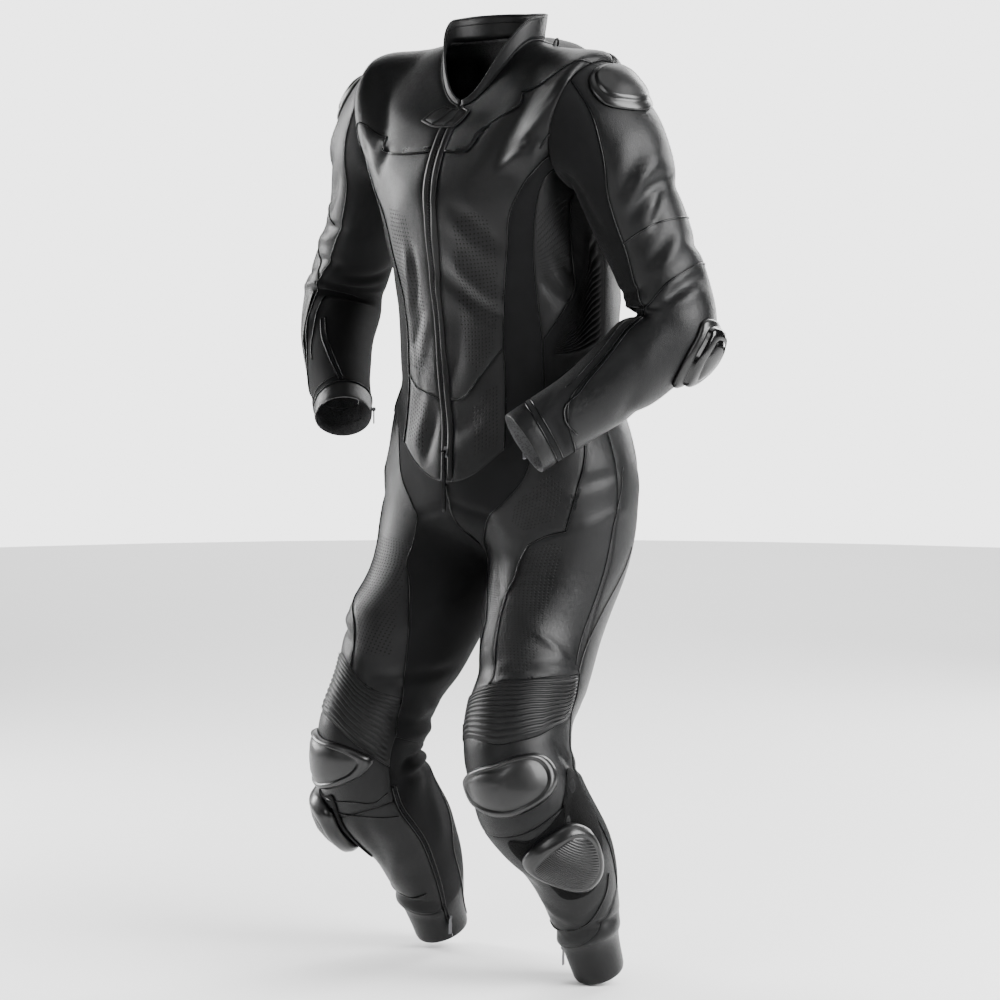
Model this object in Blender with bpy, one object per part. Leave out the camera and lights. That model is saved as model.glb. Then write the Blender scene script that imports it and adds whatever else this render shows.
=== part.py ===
"""One-piece motorcycle race suit, worn and hollow, in metres.

+Z is up, the suit faces -Y and the wearer's left is +X. The origin is the middle of the neck
opening's base. The suit is three kinds of surface, each a function of a place round the body and a
place along it: the torso (degrees round from the centre front, metres up from the waist seam), two
legs and two sleeves (turns round from the inner side towards the front, metres down from the seam
that joins them to the torso). Each surface is cut into its pieces along seam lines given in those
two numbers, and every piece is a wall with a gap of SEAM_GAP to its neighbours. Hard plates and
patches are made from the points of the wall below them, moved out.
"""
import bmesh
import bpy
import numpy as np
from mathutils import Vector
from mathutils.geometry import delaunay_2d_cdt
from mathutils.kdtree import KDTree

# ---------------------------------------------------------------- driving sizes (metres)
LEATHER_WALL = 0.0018
STRETCH_WALL = 0.0014
COLLAR_WALL = 0.003
SEAM_GAP = 0.0004
LIFT = 0.0004             # clearance of a plate or patch over the wall that carries it
CELL_ROUND = 0.030        # spacing of surface points round the body
CELL_ALONG = 0.036        # spacing of surface points along it
SEAM_STEP = 0.027         # spacing of points along a seam
LATTICE = 24              # steps of one turn on every ring where two surfaces are sewn together
RIB_HEIGHT = 0.0028

TORSO_TOP = 0.585         # height of the neck seam over the waist seam, along the torso
CROTCH = 0.225            # depth of the crotch below the waist seam, along the leg
KNEE_BACK = 0.490         # place of the seam behind the knee
LEG_LENGTH = {1: 0.865, -1: 0.855}
SLEEVE_LENGTH = {1: 0.620, -1: 0.585}
SIDE_NAMES = {1: "left", -1: "right"}

# Torso rings, from the waist seam up to the neck seam. The front of the waist ring dips to a V,
# whose sharpness is the peak.
TORSO_COLUMNS = ("height", "centre_y", "half_width", "front", "back", "z_front", "z_side", "z_back",
                 "square", "peak")
TORSO = (
    (0.000, 0.040, 0.183, 0.138, 0.142, -0.609, -0.508, -0.545, 2.25, 5.0),
    (0.090, 0.037, 0.170, 0.127, 0.136, -0.500, -0.436, -0.450, 2.30, 3.5),
    (0.190, 0.034, 0.168, 0.127, 0.144, -0.395, -0.350, -0.350, 2.35, 2.2),
    (0.300, 0.023, 0.175, 0.138, 0.154, -0.280, -0.255, -0.250, 2.35, 2.0),
    (0.370, 0.012, 0.180, 0.144, 0.152, -0.205, -0.185, -0.175, 2.35, 2.0),
    (0.440, 0.006, 0.190, 0.130, 0.136, -0.150, -0.105, -0.105, 2.30, 2.0),
    (0.500, 0.006, 0.190, 0.106, 0.106, -0.105, -0.020, -0.034, 2.20, 2.0),
    (0.545, 0.008, 0.135, 0.088, 0.082, -0.082, 0.012, 0.008, 2.10, 2.0),
    (0.585, 0.008, 0.077, 0.074, 0.067, -0.066, 0.027, 0.033, 2.00, 2.0),
)

# Hip rings, as parts of the crotch depth. The first is the waist ring again. "full" blends each
# half ring into the closed thigh ring that the two legs have at the crotch.
PELVIS_COLUMNS = ("part", "full", "centre_y", "half_width", "front", "back", "z_front", "z_side",
                  "z_back", "square", "peak")
PELVIS = (
    (0.00, 0.00, 0.040, 0.183, 0.138, 0.142, -0.609, -0.508, -0.545, 2.25, 5.0),
    (0.30, 0.06, 0.046, 0.206, 0.140, 0.145, -0.648, -0.572, -0.590, 2.20, 3.5),
    (0.60, 0.34, 0.047, 0.213, 0.144, 0.148, -0.662, -0.606, -0.618, 2.15, 2.5),
    (0.85, 0.74, 0.048, 0.220, 0.150, 0.152, -0.668, -0.625, -0.630, 2.10, 2.0),
    (1.00, 1.00, 0.048, 0.220, 0.150, 0.152, -0.670, -0.630, -0.630, 2.10, 2.0),
)

# Limb rings: place along the limb, middle of the ring, its reach sideways, to the front and to the
# back, and how far its front is turned outwards (degrees). The right limb's x is -x.
LIMB_COLUMNS = ("along", "x", "y", "z", "side", "front", "back", "turn")
LEG = {1: (
    (0.000, 0.099, 0.039, -0.735, 0.099, 0.106, 0.114, 4.0),
    (0.100, 0.102, -0.004, -0.825, 0.086, 0.098, 0.102, 12.0),
    (0.200, 0.121, -0.056, -0.915, 0.080, 0.090, 0.090, 20.0),
    (0.290, 0.146, -0.102, -0.995, 0.077, 0.086, 0.078, 26.0),
    (0.360, 0.167, -0.094, -1.062, 0.080, 0.084, 0.078, 28.0),
    (0.440, 0.192, -0.047, -1.140, 0.067, 0.068, 0.070, 28.0),
    (0.530, 0.193, -0.012, -1.225, 0.051, 0.052, 0.059, 28.0),
    (0.590, 0.188, 0.010, -1.280, 0.041, 0.042, 0.047, 26.0),
    (0.640, 0.188, 0.027, -1.322, 0.038, 0.039, 0.040, 24.0),
), -1: (
    (0.000, 0.104, 0.038, -0.735, 0.104, 0.132, 0.104, 4.0),
    (0.100, 0.121, -0.014, -0.830, 0.094, 0.120, 0.086, 12.0),
    (0.200, 0.139, -0.058, -0.925, 0.079, 0.096, 0.076, 20.0),
    (0.290, 0.155, -0.090, -1.010, 0.076, 0.085, 0.074, 26.0),
    (0.370, 0.159, -0.075, -1.085, 0.078, 0.080, 0.086, 28.0),
    (0.450, 0.149, -0.026, -1.155, 0.066, 0.062, 0.078, 28.0),
    (0.530, 0.146, 0.012, -1.225, 0.052, 0.051, 0.062, 28.0),
    (0.590, 0.147, 0.035, -1.280, 0.043, 0.042, 0.047, 26.0),
    (0.630, 0.147, 0.050, -1.312, 0.041, 0.040, 0.042, 24.0),
)}
ARM = {1: (
    (0.000, 0.190, 0.002, -0.092, 0.080, 0.084, 0.084, 0.0),
    (0.060, 0.228, 0.006, -0.125, 0.078, 0.078, 0.080, 0.0),
    (0.150, 0.254, 0.022, -0.210, 0.067, 0.069, 0.070, 0.0),
    (0.250, 0.284, 0.046, -0.305, 0.062, 0.065, 0.064, 0.0),
    (0.330, 0.300, 0.050, -0.375, 0.063, 0.066, 0.067, 0.0),
    (0.400, 0.275, 0.007, -0.425, 0.057, 0.060, 0.063, 0.0),
    (0.490, 0.232, -0.054, -0.482, 0.048, 0.052, 0.052, 0.0),
    (0.580, 0.196, -0.110, -0.524, 0.046, 0.050, 0.048, 0.0),
    (0.620, 0.182, -0.132, -0.540, 0.046, 0.050, 0.048, 0.0),
), -1: (
    (0.000, 0.190, 0.002, -0.092, 0.080, 0.084, 0.084, 0.0),
    (0.060, 0.226, 0.006, -0.125, 0.077, 0.078, 0.080, 0.0),
    (0.150, 0.260, 0.022, -0.205, 0.061, 0.066, 0.068, 0.0),
    (0.250, 0.314, 0.042, -0.290, 0.057, 0.061, 0.061, 0.0),
    (0.330, 0.347, 0.046, -0.360, 0.059, 0.062, 0.063, 0.0),
    (0.400, 0.330, 0.015, -0.412, 0.055, 0.057, 0.059, 0.0),
    (0.490, 0.290, -0.023, -0.470, 0.047, 0.049, 0.051, 0.0),
    (0.560, 0.252, -0.053, -0.516, 0.043, 0.045, 0.045, 0.0),
    (0.585, 0.241, -0.063, -0.529, 0.042, 0.044, 0.044, 0.0),
)}

# Armhole: middle and reach on the torso (degrees, metres), how far the torso is drawn to the hole,
# and the hole itself: middle, reach up and to the front, lean of its face (degrees).
HOLE_AT = (90.0, 0.405)
HOLE_REACH = (34.0, 0.088)
HOLE_DRAW = 1.8
HOLE_MIDDLE = (0.190, 0.002, -0.092)
HOLE_UP, HOLE_FRONT, HOLE_LEAN = 0.092, 0.088, 14.0
SLEEVE_BLEND = 0.11       # stretch over which the sleeve goes from the hole to its own rings
THIGH_BLEND = 0.20        # stretch over which the thigh rings tip from level to square on the axis

# Collar: height and inward lean at a place round the neck (degrees from the centre front).
COLLAR = ((0.0, 0.006, 0.000), (20.0, 0.012, 0.001), (45.0, 0.024, 0.001), (75.0, 0.029, -0.001),
          (130.0, 0.035, -0.005), (180.0, 0.033, -0.004))


def column(table, names, name, at):
    """The named column of a table at any place: a cubic through the rows, level at a peak."""
    rows = np.asarray(table, float)
    place, value = rows[:, 0], rows[:, names.index(name)]
    at = np.clip(np.asarray(at, float), place[0], place[-1])
    step = np.diff(place)
    rise = np.diff(value) / step
    slope = np.concatenate([rise[:1], (rise[:-1] * step[1:] + rise[1:] * step[:-1]) / (step[1:] + step[:-1]),
                            rise[-1:]])
    slope[1:-1][rise[:-1] * rise[1:] <= 0] *= 0.3
    i = np.clip(np.searchsorted(place, at, side="right") - 1, 0, len(step) - 1)
    h, t = step[i], (at - place[i]) / step[i]
    return ((1 + 2 * t) * (1 - t) ** 2 * value[i] + t * (1 - t) ** 2 * h * slope[i]
            + t * t * (3 - 2 * t) * value[i + 1] + t * t * (t - 1) * h * slope[i + 1])


def ease(t):
    t = np.clip(t, 0.0, 1.0)
    return t * t * (3 - 2 * t)


def unit(v):
    return v / np.maximum(np.linalg.norm(v, axis=-1, keepdims=True), 1e-12)


def ring(table, names, angle, at, side=1.0):
    """A point of a torso or hip ring: a squarish oval whose height runs from front to side to back."""
    get = {name: column(table, names, name, at) for name in names[1:]}
    s, c = np.sin(angle), np.cos(angle)
    power = 2 / get["square"]
    x = side * get["half_width"] * np.sign(s) * np.abs(s) ** power
    y = get["centre_y"] - np.where(c > 0, get["front"], get["back"]) * np.sign(c) * np.abs(c) ** power
    to_front = np.where(c > 0, np.abs(c) ** get["peak"], 0.0)
    to_back = np.where(c < 0, c * c, 0.0)
    z = get["z_front"] * to_front + get["z_back"] * to_back + get["z_side"] * (1 - to_front - to_back)
    return np.stack([x, y, z], -1)


def hole(turn, side):
    """The armhole: an oval, from the armpit (0) to the front (0.25), the shoulder top and the back."""
    angle, lean = 2 * np.pi * np.asarray(turn, float), np.radians(HOLE_LEAN)
    up = np.array([side * np.sin(lean), 0.0, np.cos(lean)])
    middle = np.array([side * HOLE_MIDDLE[0], HOLE_MIDDLE[1], HOLE_MIDDLE[2]])
    return (middle + np.multiply.outer(-np.cos(angle) * HOLE_UP, up)
            + np.multiply.outer(np.sin(angle) * HOLE_FRONT, np.array([0.0, -1.0, 0.0])))


def torso(degrees, height):
    """The torso: its ring, drawn towards the armholes near them."""
    degrees, height = np.broadcast_arrays(np.asarray(degrees, float), np.asarray(height, float))
    wrapped = (degrees + 180) % 360 - 180
    point = ring(TORSO, TORSO_COLUMNS, np.radians(wrapped), height)
    across = (np.abs(wrapped) - HOLE_AT[0]) / HOLE_REACH[0]
    over = (height - HOLE_AT[1]) / HOLE_REACH[1]
    far = np.maximum(np.hypot(across, over), 1e-6)
    turn = (np.arctan2(-across / far, -over / far) / (2 * np.pi)) % 1
    draw = 1 - ease((far - 1) / (HOLE_DRAW - 1))
    for side in (1.0, -1.0):
        near = (np.where(wrapped >= 0, 1.0, -1.0) == side) & (draw > 0)
        if near.any():
            rim = ring(TORSO, TORSO_COLUMNS,
                       np.radians(side * (HOLE_AT[0] + HOLE_REACH[0] * across[near] / far[near])),
                       HOLE_AT[1] + HOLE_REACH[1] * over[near] / far[near])
            point[near] += draw[near][:, None] * (hole(turn[near], side) - rim)
    return point


def tube(table, turn, along, side, level=0.0, span=0.030):
    """A limb: rings square on its bent axis, or level near its top where `level` is given."""
    get = {name: column(table, LIMB_COLUMNS, name, along) for name in LIMB_COLUMNS[1:]}
    first, last = table[0][0], table[-1][0]
    low, high = np.clip(along - span, first, last), np.clip(along + span, first, last)
    axis = np.stack([(side if name == "x" else 1.0) * (column(table, LIMB_COLUMNS, name, high)
                     - column(table, LIMB_COLUMNS, name, low)) for name in "xyz"], -1)
    axis = unit(axis)
    if level:
        tip = ease(along / level)[..., None]
        axis = unit(axis * tip + np.array([0.0, 0.0, -1.0]) * (1 - tip))
    out = np.radians(get["turn"]) * side
    lateral = np.stack([np.cos(out), np.sin(out), 0 * out], -1)
    lateral = unit(lateral - (lateral * axis).sum(-1, keepdims=True) * axis)
    forward = np.cross(axis, lateral)
    angle = 2 * np.pi * turn
    depth = np.where(np.sin(angle) > 0, get["front"], get["back"])
    middle = np.stack([side * get["x"], get["y"], get["z"]], -1)
    return (middle - (side * np.cos(angle) * get["side"])[..., None] * lateral
            + (np.sin(angle) * depth)[..., None] * forward)


def leg(turn, along, side):
    """A trouser leg: half hip rings that close at the crotch and go on as a tube."""
    turn, along = np.broadcast_arrays(np.asarray(turn, float), np.asarray(along, float))
    part = np.clip(along / CROTCH, 0, 1)
    half = ring(PELVIS, PELVIS_COLUMNS, np.pi * np.clip(turn, 0, 1), part, side)
    full = column(PELVIS, PELVIS_COLUMNS, "full", part)[..., None]
    thigh = tube(LEG[side], turn, np.clip(along - CROTCH, 0, None), side, THIGH_BLEND)
    return half * (1 - full) + thigh * full


def sleeve(turn, along, side):
    """A sleeve: the armhole oval carried along the arm while it blends into the arm's own rings."""
    turn, along = np.broadcast_arrays(np.asarray(turn, float), np.asarray(along, float))
    own = ease(along / SLEEVE_BLEND)[..., None]
    way = np.stack([(side if name == "x" else 1.0) * (column(ARM[side], LIMB_COLUMNS, name, along)
                    - column(ARM[side], LIMB_COLUMNS, name, 0.0)) for name in "xyz"], -1)
    return (hole(turn, side) + 0.9 * way) * (1 - own) + tube(ARM[side], turn, along, side, 0.0, 0.055) * own


# ---------------------------------------------------------------- seam tables
# Torso rows are (degrees, height) for the left side; the right mirrors them unless it has its own.
# Limb rows are (turn, along). A row given twice is a corner. "hole", k is step k of the armhole,
# "zip", h is the edge of the zip band at height h.
ZIP_COLUMNS = ("height", "middle", "half")
ZIP_BAND = ((0.000, 0.0, 2.5), (0.057, -0.8, 2.6), (0.103, -2.4, 2.6), (0.169, -3.8, 2.6),
            (0.238, -3.8, 2.6), (0.308, -2.0, 2.6), (0.376, 0.0, 2.6), (0.455, 0.0, 2.8),
            (0.525, -0.5, 3.4), (0.585, 0.0, 4.5))
ZIP_STOPS = (0.0, 0.05, 0.10, 0.15, 0.20, 0.25, 0.30, 0.35, 0.41, 0.465, 0.525, 0.585)
YOKE_SEAM = {1: (("zip", 0.465), (14, 0.463), (23, 0.500), (40, 0.508), (40, 0.508), (44, 0.526),
                 (44, 0.526), (60, 0.509), ("hole", 11)),
             -1: (("zip", 0.465), (20, 0.452), (34, 0.443), (34, 0.443), (35, 0.464), (35, 0.464),
                  (47, 0.432), ("hole", 5))}
CHEST_SEAM = {1: (("zip", 0.10), (8, 0.105), (17, 0.130), (30, 0.161)),
              -1: (("zip", 0.10), (13, 0.102), (24, 0.101), (31, 0.107))}
STRIP_INNER = (("hole", 4), (54, 0.359), (46, 0.356), (40, 0.342), (37, 0.302), (32, 0.231),
               (30, 0.161), (31, 0.107), (30, 0.0))
STRIP_OUTER = (("hole", 3), (56, 0.333), (52, 0.292), (52, 0.218), (54, 0.148), (54, 0.100),
               (52.5, 0.0))
SIDE_SEAM = (("hole", 0), (81, 0.300), (77, 0.271), (77, 0.220), (66, 0.180), (54, 0.148))
FLANK_SEAM = (("hole", 23), (98, 0.240), (97, 0.160), (97, 0.080), (97.5, 0.0))
SHOULDER_SEAM = (("hole", 13), (102, 0.535), (105, 0.585))

LEG_INNER = {1: ((0.25, 0.0), (0.215, 0.045), (0.150, 0.069), (0.104, 0.088), (0.092, 0.123),
                 (0.085, 0.164), (0.107, 0.232), (0.147, 0.280), (0.157, 0.324), (0.136, 0.367),
                 (0.105, 0.400), (0.050, 0.442), (0.050, 0.442), (0.0, 0.490)),
             -1: ((5 / 24, 0.0), (0.180, 0.040), (0.131, 0.077), (0.124, 0.112), (0.147, 0.147),
                  (0.192, 0.210), (0.176, 0.250), (0.143, 0.289), (0.100, 0.345), (0.070, 0.390),
                  (0.031, 0.442), (0.031, 0.442), (0.0, 0.490))}
LEG_FRONT = {1: ((10 / 24, 0.0), (0.395, 0.040), (0.360, 0.085), (0.345, 0.125), (0.341, 0.152),
                 (0.341, 0.152), (0.290, 0.156), (0.252, 0.168), (0.252, 0.168), (0.247, 0.200),
                 (0.248, 0.232), (0.232, 0.265), (0.221, 0.310), (0.212, 0.355), (0.200, 0.400),
                 (0.190, 0.447)),
             -1: ((10 / 24, 0.0), (0.360, 0.060), (0.335, 0.110), (0.338, 0.160), (0.348, 0.210),
                  (0.350, 0.250), (0.330, 0.295), (0.285, 0.330), (0.247, 0.362), (0.225, 0.395),
                  (0.208, 0.430))}
LEG_SIDE = ((0.5, 0.0), (0.495, 0.060), (0.493, 0.116), (0.488, 0.160), (0.488, 0.205),
            (0.481, 0.270), (0.487, 0.335), (0.480, 0.392), (0.480, 0.392), (0.488, 0.449),
            (0.488, 0.449), (0.5, 0.490), (0.5, 0.535), (0.5, 0.582), (0.5, 0.630), (0.5, 0.675),
            (0.5, 0.722))
RIBS_TOP = {1: ((0.050, 0.442), (0.110, 0.446), (0.190, 0.447), (0.285, 0.441), (0.356, 0.427),
                (0.436, 0.407), (0.480, 0.392)),
            -1: ((0.031, 0.442), (0.100, 0.447), (0.154, 0.443), (0.208, 0.430), (0.270, 0.418),
                 (0.340, 0.410), (0.410, 0.402), (0.480, 0.392))}
RIBS_BOTTOM = {1: ((0.0, 0.500), (0.060, 0.496), (0.120, 0.498), (0.180, 0.504), (0.236, 0.509),
                   (0.296, 0.508), (0.371, 0.500), (0.444, 0.475), (0.488, 0.449)),
               -1: ((0.0, 0.532), (0.053, 0.518), (0.113, 0.507), (0.179, 0.497), (0.240, 0.492),
                    (0.310, 0.490), (0.371, 0.486), (0.444, 0.470), (0.488, 0.449))}
KNEE_SEAM = ((0.0, 0.582), (0.1, 0.586), (0.2, 0.592), (0.3, 0.594), (0.4, 0.590), (0.5, 0.582))
ANKLE_SEAM = ((0.0, 0.795), (0.074, 0.794), (0.181, 0.789), (0.263, 0.779), (0.344, 0.764),
              (0.430, 0.740), (0.5, 0.722), (0.60, 0.730), (0.70, 0.742), (0.80, 0.758),
              (0.90, 0.780), (1.0, 0.795))
ANKLE_AT = 0.795

SLEEVE_FRONT = {1: ((9 / 24, 0.0), (0.361, 0.045), (0.332, 0.078), (0.301, 0.115), (0.292, 0.154),
                    (0.282, 0.200), (0.262, 0.250), (0.255, 0.315)),
                -1: ((7 / 24, 0.0), (0.255, 0.045), (0.236, 0.100), (0.245, 0.150),
                     (0.250, 0.200), (0.252, 0.250), (0.255, 0.297))}
FOREARM_SEAM = ((0.75, 0.262), (0.64, 0.255), (0.529, 0.252), (0.426, 0.259), (0.365, 0.268),
                (0.30, 0.290), (0.255, 0.315), (0.245, 0.345), (0.262, 0.390), (0.292, 0.440),
                (0.325, 0.485), (0.364, 0.520), (0.436, 0.541), (0.520, 0.549), (0.62, 0.551),
                (0.75, 0.550))
CUFF_SEAM = ((-0.25, 0.585), (-0.15, 0.582), (-0.05, 0.578), (0.05, 0.576), (0.171, 0.578),
             (0.28, 0.584), (0.386, 0.589), (0.510, 0.590), (0.63, 0.588), (0.75, 0.585))
FOREARM_SCALE = {1: 1.0, -1: 0.943}       # the right forearm, drawn up more, is a little shorter

# Plates and patches: outline on the limb, then lift of the top at the rim and at each inner loop.
SHOULDER_CUP = ((0.412, 0.020), (0.450, 0.013), (0.500, 0.012), (0.555, 0.012), (0.596, 0.022),
                (0.606, 0.046), (0.574, 0.062), (0.510, 0.067), (0.450, 0.063), (0.405, 0.053),
                (0.394, 0.036))
ELBOW_SLIDER = ((0.475, 0.322), (0.547, 0.316), (0.614, 0.326), (0.648, 0.348), (0.650, 0.372),
                (0.600, 0.392), (0.524, 0.376), (0.476, 0.352))
KNEE_CUP = ((0.049, 0.534), (0.100, 0.526), (0.160, 0.524), (0.225, 0.524), (0.289, 0.521),
            (0.344, 0.521), (0.380, 0.529), (0.396, 0.545), (0.384, 0.562), (0.340, 0.573),
            (0.256, 0.576), (0.193, 0.572), (0.130, 0.563), (0.075, 0.551))
LOOP_PATCH = ((0.190, 0.596), (0.260, 0.602), (0.330, 0.599), (0.395, 0.588), (0.428, 0.566),
              (0.440, 0.548), (0.484, 0.556), (0.492, 0.600), (0.490, 0.636), (0.425, 0.670),
              (0.371, 0.694), (0.301, 0.702), (0.232, 0.696), (0.206, 0.660), (0.192, 0.626))
KNEE_SLIDER = ((0.207, 0.619), (0.255, 0.607), (0.320, 0.604), (0.385, 0.608), (0.424, 0.628),
               (0.420, 0.655), (0.388, 0.679), (0.330, 0.689), (0.278, 0.678), (0.232, 0.650))
HUMP = ((-180, 0.568), (-202, 0.556), (-214, 0.520), (-214, 0.470), (-208, 0.410), (-198, 0.345),
        (-180, 0.310), (-162, 0.345), (-152, 0.410), (-146, 0.470), (-146, 0.520), (-158, 0.556))
COLLAR_TAB = ((-3, 0.573), (8, 0.573), (8, 0.573), (13, 0.557), (13, 0.557), (4, 0.514),
              (4, 0.514), (-6, 0.511), (-16, 0.516), (-16, 0.516), (-17, 0.546), (-14, 0.571),
              (-14, 0.571))
PLATES = {  # name: outline, (loop scale, lift in metres) from the rim inwards, lift below it
    "shoulder_cup": (SHOULDER_CUP, ((1.0, 0.0040), (0.80, 0.0125), (0.45, 0.0160)), 0.0),
    "elbow_slider": (ELBOW_SLIDER, ((1.0, 0.0060), (0.78, 0.0190), (0.42, 0.0240)), 0.0),
    "knee_cup": (KNEE_CUP, ((1.0, 0.0030), (0.86, 0.0100), (0.50, 0.0135)), 0.0),
    "knee_patch": (LOOP_PATCH, ((1.0, 0.0020),), 0.0),
    "knee_slider": (KNEE_SLIDER, ((1.0, 0.0080), (0.84, 0.0210), (0.45, 0.0260)), 0.0024),
    "back_hump": (HUMP, ((1.0, 0.0030), (0.88, 0.0240), (0.70, 0.0500), (0.35, 0.0640)), 0.0),
    "collar_tab": (COLLAR_TAB, ((1.0, 0.0026),), 0.0),
}

PLATE_PEAK = {"back_hump": (-180.0, 0.500)}       # where it isn't the middle of the outline
LEG_PLATES = ("knee_cup", "knee_patch", "knee_slider")
SLEEVE_PLATES = ("shoulder_cup", "elbow_slider")
PLATE_SHIFT = {  # how far a plate sits further along its limb than its outline says
    ("knee_cup", "leg_right"): -0.012, ("knee_patch", "leg_right"): -0.028,
    ("knee_slider", "leg_right"): -0.030, ("shoulder_cup", "sleeve_right"): 0.012,
}

# Ribs of the accordion panels: how many, and the rows they run between.
KNEE_RIBS = 12
FLANK_RIBS = 15
FLANK_TOP = ((64, 0.160), (76, 0.196), (84, 0.246), (90, 0.280), (97, 0.288))
FLANK_FOOT = ((58, 0.118), (70, 0.110), (80, 0.112), (90, 0.120), (96, 0.132))


def zip_edge(height, side):
    middle = column(ZIP_BAND, ZIP_COLUMNS, "middle", height)
    return (float(middle + side * column(ZIP_BAND, ZIP_COLUMNS, "half", height)), height)


def torso_rows(rows, side, shift=0.0):
    """A torso seam's rows on one side, with its named ends worked out."""
    out = []
    for first, second in rows:
        if first == "hole":
            turn = 2 * np.pi * second / LATTICE
            first = HOLE_AT[0] - HOLE_REACH[0] * np.sin(turn)
            second = HOLE_AT[1] - HOLE_REACH[1] * np.cos(turn)
        elif first == "zip":
            first, second = zip_edge(second, side)
            first *= side
        out.append((side * first + shift, second))
    return out


def smooth_rows(rows, scale, step):
    """Points along a seam: a curve through its rows, which are all kept, split at its corners."""
    rows = [(float(a), float(b)) for a, b in rows]
    runs, run = [], [rows[0]]
    for row in rows[1:]:
        if row == run[-1]:
            runs.append(run)
            run = [row]
        else:
            run.append(row)
    runs.append(run)
    points = [runs[0][0]]
    for run in runs:
        p = np.array(run)
        if len(p) < 2:
            continue
        q = np.concatenate([[2 * p[0] - p[1]], p, [2 * p[-1] - p[-2]]])
        for i in range(len(p) - 1):
            size = np.hypot((p[i + 1, 0] - p[i, 0]) * scale(0.5 * (p[i, 1] + p[i + 1, 1])),
                            p[i + 1, 1] - p[i, 1])
            parts = max(1, int(np.ceil(size / step - 0.25)))
            for j in range(1, parts + 1):
                t = j / parts
                if j == parts:
                    points.append(run[i + 1])
                    continue
                a, b, c, d = q[i:i + 4]
                points.append(tuple(0.5 * (2 * b + (c - a) * t + (2 * a - 5 * b + 4 * c - d) * t * t
                                           + (3 * b - a - 3 * c + d) * t ** 3)))
    return points


def straight(a0, b0, a1, b1, parts):
    return [(a0 + (a1 - a0) * i / parts, b0 + (b1 - b0) * i / parts) for i in range(parts + 1)]


def stops(values, step):
    """Values along a straight border, with the given ones kept."""
    out = [values[0]]
    for low, high in zip(values, values[1:]):
        parts = max(1, int(np.ceil(abs(high - low) / step - 0.25)))
        out += [low + (high - low) * i / parts for i in range(1, parts + 1)]
    return out


def scaled(rows, factor, middle=None):
    """An outline drawn in towards its middle."""
    rows = np.array(rows, float)
    middle = rows.mean(0) if middle is None else np.array(middle, float)
    return [tuple(row) for row in middle + (rows - middle) * factor]


def inside(points, polygon):
    x, y = points[:, 0], points[:, 1]
    polygon = np.asarray(polygon)
    found = np.zeros(len(points), bool)
    for (x0, y0), (x1, y1) in zip(polygon, np.roll(polygon, -1, 0)):
        cross = (y0 > y) != (y1 > y)
        found ^= cross & (x < (x1 - x0) * (y - y0) / np.where(cross, y1 - y0, 1.0) + x0)
    return found


def near_lines(points, starts, ends, reach):
    """Which points lie within reach of any of the segments."""
    found = np.zeros(len(points), bool)
    for a, b in zip(starts, ends):
        d = b - a
        t = np.clip(((points - a) @ d) / max(d @ d, 1e-12), 0, 1)
        found |= np.hypot(*(points - a - t[:, None] * d).T) < reach
    return found


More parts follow.
